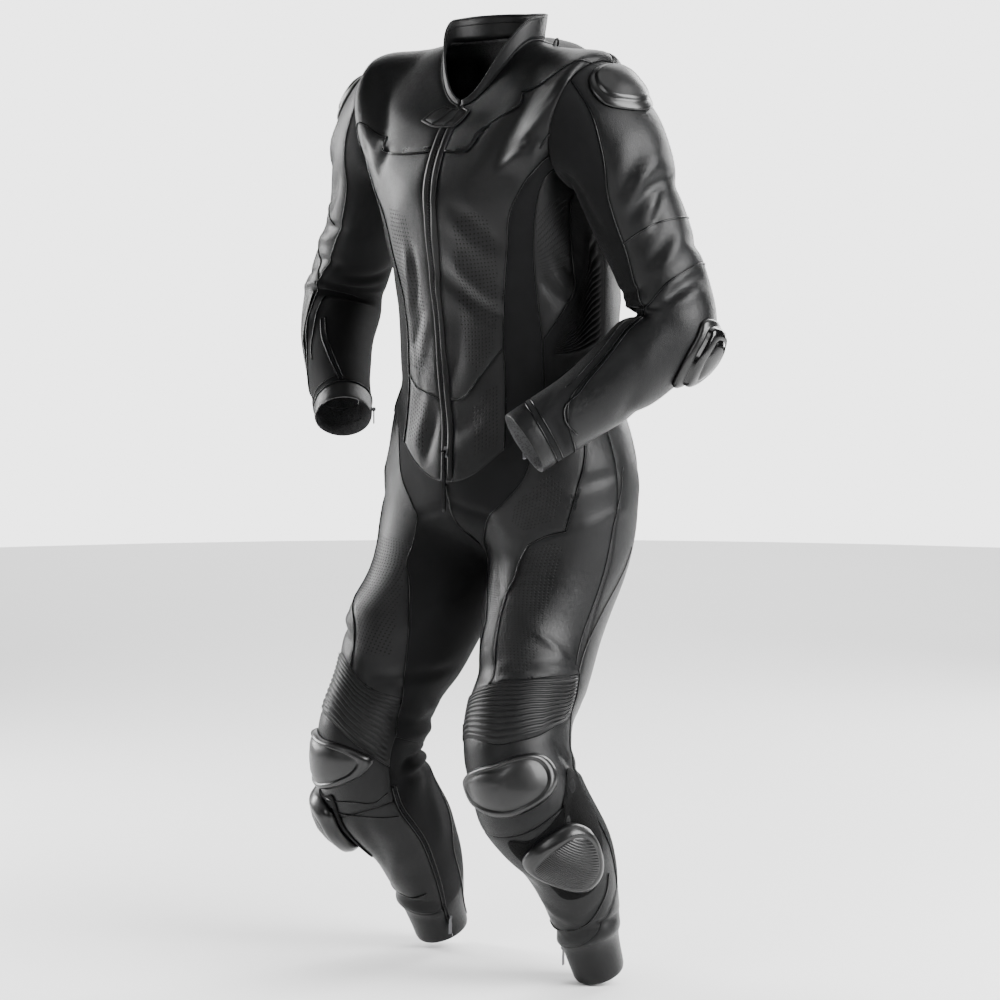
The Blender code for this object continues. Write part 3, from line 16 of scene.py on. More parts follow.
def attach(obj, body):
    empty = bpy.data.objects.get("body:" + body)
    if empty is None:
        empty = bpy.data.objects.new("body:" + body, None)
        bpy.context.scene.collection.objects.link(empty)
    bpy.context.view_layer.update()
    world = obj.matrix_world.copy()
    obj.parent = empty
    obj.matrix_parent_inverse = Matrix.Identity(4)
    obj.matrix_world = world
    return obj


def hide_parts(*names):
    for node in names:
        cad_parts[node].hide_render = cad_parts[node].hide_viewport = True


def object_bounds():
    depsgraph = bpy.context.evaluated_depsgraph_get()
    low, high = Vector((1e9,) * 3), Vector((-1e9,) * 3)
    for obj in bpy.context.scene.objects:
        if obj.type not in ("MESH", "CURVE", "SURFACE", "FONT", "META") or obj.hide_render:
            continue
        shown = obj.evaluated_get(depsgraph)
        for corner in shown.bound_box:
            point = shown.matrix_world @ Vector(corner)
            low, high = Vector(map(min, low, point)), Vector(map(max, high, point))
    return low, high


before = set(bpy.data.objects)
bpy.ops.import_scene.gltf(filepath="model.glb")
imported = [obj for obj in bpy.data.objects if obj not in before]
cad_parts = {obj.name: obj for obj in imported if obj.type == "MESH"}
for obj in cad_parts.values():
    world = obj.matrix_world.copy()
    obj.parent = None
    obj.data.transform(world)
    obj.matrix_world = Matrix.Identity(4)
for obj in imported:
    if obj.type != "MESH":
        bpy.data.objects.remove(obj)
CAD_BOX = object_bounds()

bl_info = {
    "name": "Motorcycle Race Suit",
    "version": (1, 0, 0),
    "blender": (4, 5, 0),
    "location": "3D View > Sidebar > Race Suit",
    "description": "Panels, plates, zips and sewing of a one-piece leather race suit",
    "category": "Add Mesh",
}

# ---------------------------------------------------------------- driving sizes (metres)
LEATHER_WALL = 0.0016
STRETCH_WALL = 0.0012
SEAM_GAP = 0.0003
LIFT = 0.0004             # clearance of a plate or patch over the wall that carries it
CELL = 0.0055             # spacing of surface points
SEAM_STEP = 0.006         # spacing of points along a seam
SEAM_ROWS = (0.0013, 0.0040)      # rows of points beside a seam
LATTICE = 120             # steps of one turn on every ring where two surfaces are sewn together
HOLE_STEPS = 24           # steps of one turn in which the armhole seams are given
RIB_HEIGHT = 0.0028
RIB_STEPS = 6             # rows of points from one rib to the next

TORSO_TOP = 0.585         # height of the neck seam over the waist seam, along the torso
CROTCH = 0.225            # depth of the crotch below the waist seam, along the leg
KNEE_BACK = 0.490         # place of the seam behind the knee
LEG_LENGTH = {1: 0.865, -1: 0.855}
SLEEVE_LENGTH = {1: 0.620, -1: 0.585}
SIDE_NAMES = {1: "left", -1: "right"}

# Torso rings, from the waist seam up to the neck seam. The front of the waist ring dips to a V,
# whose sharpness is the peak.
TORSO_COLUMNS = ("height", "centre_y", "half_width", "front", "back", "z_front", "z_side", "z_back",
                 "square", "peak")
TORSO = (
    (0.000, 0.040, 0.183, 0.138, 0.142, -0.609, -0.508, -0.545, 2.25, 5.0),
    (0.090, 0.037, 0.170, 0.127, 0.136, -0.500, -0.436, -0.450, 2.30, 3.5),
    (0.190, 0.034, 0.168, 0.127, 0.144, -0.395, -0.350, -0.350, 2.35, 2.2),
    (0.300, 0.023, 0.175, 0.138, 0.154, -0.280, -0.255, -0.250, 2.35, 2.0),
    (0.370, 0.012, 0.180, 0.144, 0.152, -0.205, -0.185, -0.175, 2.35, 2.0),
    (0.440, 0.006, 0.190, 0.130, 0.136, -0.150, -0.105, -0.105, 2.30, 2.0),
    (0.500, 0.006, 0.190, 0.106, 0.106, -0.105, -0.020, -0.034, 2.20, 2.0),
    (0.545, 0.008, 0.135, 0.088, 0.082, -0.082, 0.012, 0.008, 2.10, 2.0),
    (0.585, 0.008, 0.077, 0.074, 0.067, -0.066, 0.027, 0.033, 2.00, 2.0),
)

# Hip rings, as parts of the crotch depth. The first is the waist ring again. "full" blends each
# half ring into the closed thigh ring that the two legs have at the crotch.
PELVIS_COLUMNS = ("part", "full", "centre_y", "half_width", "front", "back", "z_front", "z_side",
                  "z_back", "square", "peak")
PELVIS = (
    (0.00, 0.00, 0.040, 0.183, 0.138, 0.142, -0.609, -0.508, -0.545, 2.25, 5.0),
    (0.30, 0.06, 0.046, 0.206, 0.140, 0.145, -0.648, -0.572, -0.590, 2.20, 3.5),
    (0.60, 0.34, 0.047, 0.213, 0.144, 0.148, -0.662, -0.606, -0.618, 2.15, 2.5),
    (0.85, 0.74, 0.048, 0.220, 0.150, 0.152, -0.668, -0.625, -0.630, 2.10, 2.0),
    (1.00, 1.00, 0.048, 0.220, 0.150, 0.152, -0.670, -0.630, -0.630, 2.10, 2.0),
)


def in_metres(rows, plain=1):
    """Rows given in millimetres, apart from their last columns."""
    return tuple(tuple(value / 1000 for value in row[:-plain]) + row[-plain:] for row in rows)


# Limb rings in mm: place along the limb, middle of the ring, its reach sideways, to the front and to
# the back, and how far its front is turned outwards (degrees). The right limb's x is -x.
LIMB_COLUMNS = ("along", "x", "y", "z", "side", "front", "back", "turn")
LEG = {1: in_metres((
    (  0,  99,   39,  -735, 99, 106, 114,  4),
    (100, 102,   -4,  -825, 86,  98, 102, 12),
    (200, 121,  -56,  -915, 80,  90,  90, 20),
    (290, 146, -102,  -995, 77,  86,  78, 26),
    (360, 167,  -94, -1062, 80,  84,  78, 28),
    (440, 192,  -47, -1140, 67,  68,  70, 28),
    (530, 193,  -12, -1225, 51,  52,  59, 28),
    (590, 188,   10, -1280, 41,  42,  47, 26),
    (640, 188,   27, -1322, 38,  39,  40, 24),
)), -1: in_metres((
    (  0, 104,  38,  -735, 104, 132, 104,  4),
    (100, 121, -14,  -830,  94, 120,  86, 12),
    (200, 139, -58,  -925,  79,  96,  76, 20),
    (290, 155, -90, -1010,  76,  85,  74, 26),
    (370, 159, -75, -1085,  78,  80,  86, 28),
    (450, 149, -26, -1155,  66,  62,  78, 28),
    (530, 146,  12, -1225,  52,  51,  62, 28),
    (590, 147,  35, -1280,  43,  42,  47, 26),
    (630, 147,  50, -1312,  41,  40,  42, 24),
))}
ARM = {1: in_metres((
    (  0, 190,    2,  -92, 80, 84, 84, 0),
    ( 60, 228,    6, -125, 78, 78, 80, 0),
    (150, 254,   22, -210, 67, 69, 70, 0),
    (250, 284,   46, -305, 62, 65, 64, 0),
    (330, 300,   50, -375, 63, 66, 67, 0),
    (400, 275,    7, -425, 57, 60, 63, 0),
    (490, 232,  -54, -482, 48, 52, 52, 0),
    (580, 196, -110, -524, 46, 50, 48, 0),
    (620, 182, -132, -540, 46, 50, 48, 0),
)), -1: in_metres((
    (  0, 190,   2,  -92, 80, 84, 84, 0),
    ( 60, 226,   6, -125, 77, 78, 80, 0),
    (150, 260,  22, -205, 61, 66, 68, 0),
    (250, 314,  42, -290, 57, 61, 61, 0),
    (330, 347,  46, -360, 59, 62, 63, 0),
    (400, 330,  15, -412, 55, 57, 59, 0),
    (490, 290, -23, -470, 47, 49, 51, 0),
    (560, 252, -53, -516, 43, 45, 45, 0),
    (585, 241, -63, -529, 42, 44, 44, 0),
))}

# Armhole: middle and reach on the torso (degrees, metres), how far the torso is drawn to the hole,
# and the hole itself: middle, reach up and to the front, lean of its face (degrees).
HOLE_AT = (90.0, 0.405)
HOLE_REACH = (34.0, 0.088)
HOLE_DRAW = 1.8
HOLE_MIDDLE = (0.190, 0.002, -0.092)
HOLE_UP, HOLE_FRONT, HOLE_LEAN = 0.092, 0.088, 14.0
SLEEVE_BLEND = 0.11       # stretch over which the sleeve goes from the hole to its own rings
THIGH_BLEND = 0.20        # stretch over which the thigh rings tip from level to square on the axis
LEG_SPAN, ARM_SPAN = 0.030, 0.055     # reach on both sides over which a limb's axis is taken
HOLE_FOLLOW = 0.9         # how far the armhole oval goes along with the arm

# Collar: height and inward lean at a place round the neck (degrees from the centre front).
COLLAR = ((0.0, 0.006, 0.0), (20.0, 0.012, 0.001), (45.0, 0.024, 0.001), (75.0, 0.029, -0.001),
          (130.0, 0.035, -0.005), (180.0, 0.033, -0.004))


def column(table, names, name, at):
    """The named column of a table at any place: a cubic through the rows, level at a peak."""
    rows = np.asarray(table, float)
    place, value = rows[:, 0], rows[:, names.index(name)]
    at = np.clip(np.asarray(at, float), place[0], place[-1])
    step = np.diff(place)
    rise = np.diff(value) / step
    inner = (rise[:-1] * step[1:] + rise[1:] * step[:-1]) / (step[1:] + step[:-1])
    slope = np.concatenate([rise[:1], inner, rise[-1:]])
    slope[1:-1][rise[:-1] * rise[1:] <= 0] *= 0.3
    i = np.clip(np.searchsorted(place, at, side="right") - 1, 0, len(step) - 1)
    h, t = step[i], (at - place[i]) / step[i]
    return ((1 + 2 * t) * (1 - t) ** 2 * value[i] + t * (1 - t) ** 2 * h * slope[i]
            + t * t * (3 - 2 * t) * value[i + 1] + t * t * (t - 1) * h * slope[i + 1])


def ease(t):
    t = np.clip(t, 0.0, 1.0)
    return t * t * (3 - 2 * t)


def unit(v):
    return v / np.maximum(np.linalg.norm(v, axis=-1, keepdims=True), 1e-12)


def ring(table, names, angle, at, side=1.0):
    """A point of a torso or hip ring: a squarish oval whose height runs from front to side to back."""
    get = {name: column(table, names, name, at) for name in names[1:]}
    s, c = np.sin(angle), np.cos(angle)
    power = 2 / get["square"]
    x = side * get["half_width"] * np.sign(s) * np.abs(s) ** power
    y = get["centre_y"] - np.where(c > 0, get["front"], get["back"]) * np.sign(c) * np.abs(c) ** power
    to_front = np.where(c > 0, np.abs(c) ** get["peak"], 0.0)
    to_back = np.where(c < 0, c * c, 0.0)
    z = get["z_front"] * to_front + get["z_back"] * to_back + get["z_side"] * (1 - to_front - to_back)
    return np.stack([x, y, z], -1)


def hole(turn, side):
    """The armhole: an oval, from the armpit (0) to the front (0.25), the shoulder top and the back."""
    angle, lean = 2 * np.pi * np.asarray(turn, float), np.radians(HOLE_LEAN)
    up = np.array([side * np.sin(lean), 0.0, np.cos(lean)])
    middle = np.array([side * HOLE_MIDDLE[0], HOLE_MIDDLE[1], HOLE_MIDDLE[2]])
    return (middle + np.multiply.outer(-np.cos(angle) * HOLE_UP, up)
            + np.multiply.outer(np.sin(angle) * HOLE_FRONT, np.array([0.0, -1.0, 0.0])))


def torso(degrees, height):
    """The torso: its ring, drawn towards the armholes near them."""
    degrees, height = np.broadcast_arrays(np.asarray(degrees, float), np.asarray(height, float))
    wrapped = (degrees + 180) % 360 - 180
    point = ring(TORSO, TORSO_COLUMNS, np.radians(wrapped), height)
    across = (np.abs(wrapped) - HOLE_AT[0]) / HOLE_REACH[0]
    over = (height - HOLE_AT[1]) / HOLE_REACH[1]
    far = np.maximum(np.hypot(across, over), 1e-6)
    turn = (np.arctan2(-across / far, -over / far) / (2 * np.pi)) % 1
    draw = 1 - ease((far - 1) / (HOLE_DRAW - 1))
    for side in (1.0, -1.0):
        near = (np.where(wrapped >= 0, 1.0, -1.0) == side) & (draw > 0)
        if near.any():
            rim = ring(TORSO, TORSO_COLUMNS,
                       np.radians(side * (HOLE_AT[0] + HOLE_REACH[0] * across[near] / far[near])),
                       HOLE_AT[1] + HOLE_REACH[1] * over[near] / far[near])
            point[near] += draw[near][:, None] * (hole(turn[near], side) - rim)
    return point


def limb_way(table, low, high, side):
    """From the limb's axis at one place to its axis at another."""
    return np.stack([(side if name == "x" else 1.0) * (column(table, LIMB_COLUMNS, name, high)
                     - column(table, LIMB_COLUMNS, name, low)) for name in "xyz"], -1)


def tube(table, turn, along, side, level=0.0, span=LEG_SPAN):
    """A limb: rings square on its bent axis, or level near its top where `level` is given."""
    get = {name: column(table, LIMB_COLUMNS, name, along) for name in LIMB_COLUMNS[1:]}
    first, last = table[0][0], table[-1][0]
    low, high = np.clip(along - span, first, last), np.clip(along + span, first, last)
    axis = unit(limb_way(table, low, high, side))
    if level:
        tip = ease(along / level)[..., None]
        axis = unit(axis * tip + np.array([0.0, 0.0, -1.0]) * (1 - tip))
    out = np.radians(get["turn"]) * side
    lateral = np.stack([np.cos(out), np.sin(out), 0 * out], -1)
    lateral = unit(lateral - (lateral * axis).sum(-1, keepdims=True) * axis)
    forward = np.cross(axis, lateral)
    angle = 2 * np.pi * turn
    depth = np.where(np.sin(angle) > 0, get["front"], get["back"])
    middle = np.stack([side * get["x"], get["y"], get["z"]], -1)
    return (middle - (side * np.cos(angle) * get["side"])[..., None] * lateral
            + (np.sin(angle) * depth)[..., None] * forward)


def leg(turn, along, side):
    """A trouser leg: half hip rings that close at the crotch and go on as a tube."""
    turn, along = np.broadcast_arrays(np.asarray(turn, float), np.asarray(along, float))
    part = np.clip(along / CROTCH, 0, 1)
    half = ring(PELVIS, PELVIS_COLUMNS, np.pi * np.clip(turn, 0, 1), part, side)
    full = column(PELVIS, PELVIS_COLUMNS, "full", part)[..., None]
    thigh = tube(LEG[side], turn, np.clip(along - CROTCH, 0, None), side, THIGH_BLEND)
    return half * (1 - full) + thigh * full


def sleeve(turn, along, side):
    """A sleeve: the armhole oval carried along the arm while it blends into the arm's own rings."""
    turn, along = np.broadcast_arrays(np.asarray(turn, float), np.asarray(along, float))
    own = ease(along / SLEEVE_BLEND)[..., None]
    start = hole(turn, side) + HOLE_FOLLOW * limb_way(ARM[side], 0.0, along, side)
    return start * (1 - own) + tube(ARM[side], turn, along, side, 0.0, ARM_SPAN) * own


# ---------------------------------------------------------------- seam tables
# Torso rows are (degrees, height) for the left side; the right mirrors them unless it has its own.
# Limb rows are (turn, along). A row given twice is a corner. "hole", k is step k of the armhole,
# "zip", h is the edge of the zip band at height h.
ZIP_COLUMNS = ("height", "middle", "half")
ZIP_BAND = ((0.0, 0.0, 2.5), (0.057, -0.8, 2.6), (0.103, -2.4, 2.6), (0.169, -3.8, 2.6), (0.238, -3.8, 2.6),
            (0.308, -2.0, 2.6), (0.376, 0.0, 2.6), (0.455, 0.0, 2.8), (0.525, -0.5, 3.4), (0.585, 0.0, 4.5))
ZIP_STOPS = (0.0, 0.05, 0.1, 0.15, 0.2, 0.25, 0.3, 0.35, 0.41, 0.465, 0.525, 0.585)
YOKE_SEAM = {
    1: (
        ("zip", 0.465), (14, 0.463), (23, 0.5), (40, 0.508), (40, 0.508), (44, 0.526), (44, 0.526),
        (60, 0.509), ("hole", 11)),
    -1: (
        ("zip", 0.465), (20, 0.452), (34, 0.443), (34, 0.443), (35, 0.464), (35, 0.464), (47, 0.432),
        ("hole", 5)),
}
CHEST_SEAM = {
    1: (("zip", 0.1), (8, 0.105), (17, 0.13), (30, 0.161)),
    -1: (("zip", 0.1), (13, 0.102), (24, 0.101), (31, 0.107)),
}
STRIP_INNER = (("hole", 4), (54, 0.359), (46, 0.356), (40, 0.342), (37, 0.302), (32, 0.231), (30, 0.161),
               (31, 0.107), (30, 0.0))
STRIP_OUTER = (("hole", 3), (56, 0.333), (52, 0.292), (52, 0.218), (54, 0.148), (54, 0.1), (52.5, 0.0))
SIDE_SEAM = (("hole", 0), (81, 0.3), (77, 0.271), (77, 0.22), (66, 0.18), (54, 0.148))
FLANK_SEAM = (("hole", 23), (98, 0.24), (97, 0.16), (97, 0.08), (97.5, 0.0))
SHOULDER_SEAM = (("hole", 13), (102, 0.535), (105, 0.585))

LEG_INNER = {
    1: (
        (0.25, 0.0), (0.215, 0.045), (0.15, 0.069), (0.104, 0.088), (0.092, 0.123), (0.085, 0.164),
        (0.107, 0.232), (0.147, 0.28), (0.157, 0.324), (0.136, 0.367), (0.105, 0.4), (0.05, 0.442),
        (0.05, 0.442), (0.0, 0.49)),
    -1: (
        (5 / 24, 0.0), (0.18, 0.04), (0.131, 0.077), (0.124, 0.112), (0.147, 0.147), (0.192, 0.21),
        (0.176, 0.25), (0.143, 0.289), (0.1, 0.345), (0.07, 0.39), (0.031, 0.442), (0.031, 0.442),
        (0.0, 0.49)),
}
LEG_FRONT = {
    1: (
        (10 / 24, 0.0), (0.395, 0.04), (0.36, 0.085), (0.345, 0.125), (0.341, 0.152), (0.341, 0.152),
        (0.29, 0.156), (0.252, 0.168), (0.252, 0.168), (0.247, 0.2), (0.248, 0.232), (0.232, 0.265),
        (0.221, 0.31), (0.212, 0.355), (0.2, 0.4), (0.19, 0.447)),
    -1: (
        (10 / 24, 0.0), (0.36, 0.06), (0.335, 0.11), (0.338, 0.16), (0.348, 0.21), (0.35, 0.25),
        (0.33, 0.295), (0.285, 0.33), (0.247, 0.362), (0.225, 0.395), (0.208, 0.43)),
}
LEG_SIDE = ((0.5, 0.0), (0.495, 0.06), (0.493, 0.116), (0.488, 0.16), (0.488, 0.205), (0.481, 0.27),
            (0.487, 0.335), (0.48, 0.392), (0.48, 0.392), (0.488, 0.449), (0.488, 0.449), (0.5, 0.49),
            (0.5, 0.535), (0.5, 0.582), (0.5, 0.63), (0.5, 0.675), (0.5, 0.722))
RIBS_TOP = {
    1: (
        (0.05, 0.442), (0.11, 0.446), (0.19, 0.447), (0.285, 0.441), (0.356, 0.427), (0.436, 0.407),
        (0.48, 0.392)),
    -1: (
        (0.031, 0.442), (0.1, 0.447), (0.154, 0.443), (0.208, 0.43), (0.27, 0.418), (0.34, 0.41),
        (0.41, 0.402), (0.48, 0.392)),
}
RIBS_BOTTOM = {
    1: (
        (0.0, 0.5), (0.06, 0.496), (0.12, 0.498), (0.18, 0.504), (0.236, 0.509), (0.296, 0.508),
        (0.371, 0.5), (0.444, 0.475), (0.488, 0.449)),
    -1: (
        (0.0, 0.532), (0.053, 0.518), (0.113, 0.507), (0.179, 0.497), (0.24, 0.492), (0.31, 0.49),
        (0.371, 0.486), (0.444, 0.47), (0.488, 0.449)),
}
KNEE_SEAM = ((0.0, 0.582), (0.1, 0.586), (0.2, 0.592), (0.3, 0.594), (0.4, 0.59), (0.5, 0.582))
ANKLE_SEAM = ((0.0, 0.795), (0.074, 0.794), (0.181, 0.789), (0.263, 0.779), (0.344, 0.764), (0.43, 0.74),
              (0.5, 0.722), (0.6, 0.73), (0.7, 0.742), (0.8, 0.758), (0.9, 0.78), (1.0, 0.795))
ANKLE_AT = 0.795

SLEEVE_FRONT = {
    1: (
        (9 / 24, 0.0), (0.361, 0.045), (0.332, 0.078), (0.301, 0.115), (0.292, 0.154), (0.282, 0.2),
        (0.262, 0.25), (0.255, 0.315)),
    -1: (
        (7 / 24, 0.0), (0.255, 0.045), (0.236, 0.1), (0.245, 0.15), (0.25, 0.2), (0.252, 0.25),
        (0.255, 0.297)),
}
FOREARM_SEAM = ((0.75, 0.262), (0.64, 0.255), (0.529, 0.252), (0.426, 0.259), (0.365, 0.268), (0.3, 0.29),
                (0.255, 0.315), (0.245, 0.345), (0.262, 0.39), (0.292, 0.44), (0.325, 0.485), (0.364, 0.52),
                (0.436, 0.541), (0.52, 0.549), (0.62, 0.551), (0.75, 0.55))
CUFF_SEAM = ((-0.25, 0.585), (-0.15, 0.582), (-0.05, 0.578), (0.05, 0.576), (0.171, 0.578), (0.28, 0.584),
             (0.386, 0.589), (0.51, 0.59), (0.63, 0.588), (0.75, 0.585))
FOREARM_SCALE = {1: 1.0, -1: 0.943}       # the right forearm, drawn up more, is a little shorter

# Plates and patches: their outlines on the limb or the torso.
OUTLINES = {
    "shoulder_cup": (
        (0.412, 0.02), (0.45, 0.013), (0.5, 0.012), (0.555, 0.012), (0.596, 0.022), (0.606, 0.046),
        (0.574, 0.062), (0.51, 0.067), (0.45, 0.063), (0.405, 0.053), (0.394, 0.036)),
    "elbow_slider": (
        (0.475, 0.322), (0.547, 0.316), (0.614, 0.326), (0.648, 0.348), (0.65, 0.372), (0.6, 0.392),
        (0.524, 0.376), (0.476, 0.352)),
    "knee_cup": (
        (0.049, 0.534), (0.1, 0.526), (0.16, 0.524), (0.225, 0.524), (0.289, 0.521), (0.344, 0.521),
        (0.38, 0.529), (0.396, 0.545), (0.384, 0.562), (0.34, 0.573), (0.256, 0.576), (0.193, 0.572),
        (0.13, 0.563), (0.075, 0.551)),
    "knee_patch": (
        (0.19, 0.596), (0.26, 0.602), (0.33, 0.599), (0.395, 0.588), (0.428, 0.566), (0.44, 0.548),
        (0.484, 0.556), (0.492, 0.6), (0.49, 0.636), (0.425, 0.67), (0.371, 0.694), (0.301, 0.702),
        (0.232, 0.696), (0.206, 0.66), (0.192, 0.626)),
    "knee_slider": (
        (0.207, 0.619), (0.255, 0.607), (0.32, 0.604), (0.385, 0.608), (0.424, 0.628), (0.42, 0.655),
        (0.388, 0.679), (0.33, 0.689), (0.278, 0.678), (0.232, 0.65)),
    "back_hump": (
        (-180, 0.568), (-202, 0.556), (-214, 0.52), (-214, 0.47), (-208, 0.41), (-198, 0.345),
        (-180, 0.31), (-162, 0.345), (-152, 0.41), (-146, 0.47), (-146, 0.52), (-158, 0.556)),
    "collar_tab": (
        (-3, 0.573), (8, 0.573), (8, 0.573), (13, 0.557), (13, 0.557), (4, 0.514), (4, 0.514), (-6, 0.511),
        (-16, 0.516), (-16, 0.516), (-17, 0.546), (-14, 0.571), (-14, 0.571)),
}
PLATE_PEAK = {"back_hump": (-180.0, 0.5)}    # the top, where it isn't the middle of the outline
PLATE_BELOW = {"knee_slider": 0.0024}        # how far the plate under it lifts its foot
HUMP_LOOPS = ((1.0, 0.003), (0.88, 0.024), (0.7, 0.05), (0.35, 0.064))   # share of the outline, lift
HUMP_PUSH, HUMP_POINTS, HUMP_STEPS, HUMP_PASSES = (0.0, 0.8, 0.6), 160, 40, 30
LEG_PLATES = ("knee_cup", "knee_patch", "knee_slider")
SLEEVE_PLATES = ("shoulder_cup", "elbow_slider")
PLATE_SHIFT = {  # how far a plate sits further along its limb than its outline says
    ("knee_cup", "leg_right"): -0.012, ("knee_patch", "leg_right"): -0.028,
    ("knee_slider", "leg_right"): -0.030, ("shoulder_cup", "sleeve_right"): 0.012,
}

# Ribs of the accordion panels: how many, and the rows they run between.
KNEE_RIBS = 12
FLANK_RIBS = 15
FLANK_TOP = ((64, 0.16), (76, 0.196), (84, 0.246), (90, 0.28), (97, 0.288))
FLANK_FOOT = ((58, 0.118), (70, 0.11), (80, 0.112), (90, 0.12), (96, 0.132))


def zip_place(height):
    """Middle and half width of the front zip's band at a height (degrees)."""
    return [column(ZIP_BAND, ZIP_COLUMNS, name, height) for name in ZIP_COLUMNS[1:]]


def zip_edge(height, side):
    middle, half = zip_place(height)
    return (float(middle + side * half), height)


def torso_rows(rows, side, shift=0.0):
    """A torso seam's rows on one side, with its named ends worked out."""
    out = []
    for first, second in rows:
        if first == "hole":
            turn = 2 * np.pi * second / HOLE_STEPS
            first = HOLE_AT[0] - HOLE_REACH[0] * np.sin(turn)
            second = HOLE_AT[1] - HOLE_REACH[1] * np.cos(turn)
        elif first == "zip":
            first, second = zip_edge(second, side)
            first *= side
        out.append((side * first + shift, second))
    return out


def smooth_rows(rows, scale, step):
    """Points along a seam: a curve through its rows, which are all kept, split at its corners."""
    rows = [(float(a), float(b)) for a, b in rows]
    runs, run = [], [rows[0]]
    for row in rows[1:]:
        if row == run[-1]:
            runs.append(run)
            run = [row]
        else:
            run.append(row)
    runs.append(run)
    points = [runs[0][0]]
    for run in runs:
        p = np.array(run)
        if len(p) < 2:
            continue
        q = np.concatenate([[2 * p[0] - p[1]], p, [2 * p[-1] - p[-2]]])
        for i in range(len(p) - 1):
            size = np.hypot((p[i + 1, 0] - p[i, 0]) * scale(0.5 * (p[i, 1] + p[i + 1, 1])),
                            p[i + 1, 1] - p[i, 1])
            parts = max(1, int(np.ceil(size / step - 0.25)))
            for j in range(1, parts + 1):
                t = j / parts
                if j == parts:
                    points.append(run[i + 1])
                    continue
                a, b, c, d = q[i:i + 4]
                points.append(tuple(0.5 * (2 * b + (c - a) * t + (2 * a - 5 * b + 4 * c - d) * t * t
                                           + (3 * b - a - 3 * c + d) * t ** 3)))
    return points


def straight(a0, b0, a1, b1, parts):
    return [(a0 + (a1 - a0) * i / parts, b0 + (b1 - b0) * i / parts) for i in range(parts + 1)]


def stops(values, step):
    """Values along a straight border, with the given ones kept."""
    out = [values[0]]
    for low, high in zip(values, values[1:]):
        parts = max(1, int(np.ceil(abs(high - low) / step - 0.25)))
        out += [low + (high - low) * i / parts for i in range(1, parts + 1)]
    return out


def inside(points, polygon):
    x, y = points[:, 0], points[:, 1]
    polygon = np.asarray(polygon)
    found = np.zeros(len(points), bool)
    for (x0, y0), (x1, y1) in zip(polygon, np.roll(polygon, -1, 0)):
        cross = (y0 > y) != (y1 > y)
        found ^= cross & (x < (x1 - x0) * (y - y0) / np.where(cross, y1 - y0, 1.0) + x0)
    return found


TORSO_SCALE = ((0.0, 0.0029), (0.45, 0.0029), (0.545, 0.0021), (0.585, 0.0015))
LEG_SCALE = ((0.0, 0.58), (0.225, 0.56), (0.45, 0.5), (0.6, 0.48), (0.7, 0.42), (0.8, 0.3), (0.87, 0.25))
SLEEVE_SCALE = ((0.0, 0.565), (0.1, 0.46), (0.2, 0.39), (0.33, 0.39), (0.4, 0.365), (0.5, 0.305),
                (0.62, 0.285))

# Large soft folds of each surface: middle (round the body, along it in mm), half length and half width
# (mm), direction of the crease (degrees from round towards along), lift (mm, a trough where negative).
FOLDS = {
    "leg_left": ((0.1, 415, 70, 20, 8, -5), (0.02, 330, 75, 24, 70, -4.5), (0.62, 440, 70, 20, -8, -5)),
    "leg_right": ((0.1, 200, 80, 26, 75, -4.5), (0.62, 440, 70, 20, -8, -5), (-0.1, 420, 60, 20, 10, -5)),
    "sleeve_left": ((0.1, 345, 55, 18, 10, -5), (0.45, 170, 55, 18, -30, -3.5)),
    "sleeve_right": ((0.1, 330, 55, 18, 10, -5),),
    "torso": ((60, 60, 80, 24, 20, -4), (-60, 60, 80, 24, -20, -4), (180, 110, 110, 30, 0, -4.5)),
}


def scale_of(table):
    table = np.array(table)
    return lambda b: np.interp(b, table[:, 0], table[:, 1])


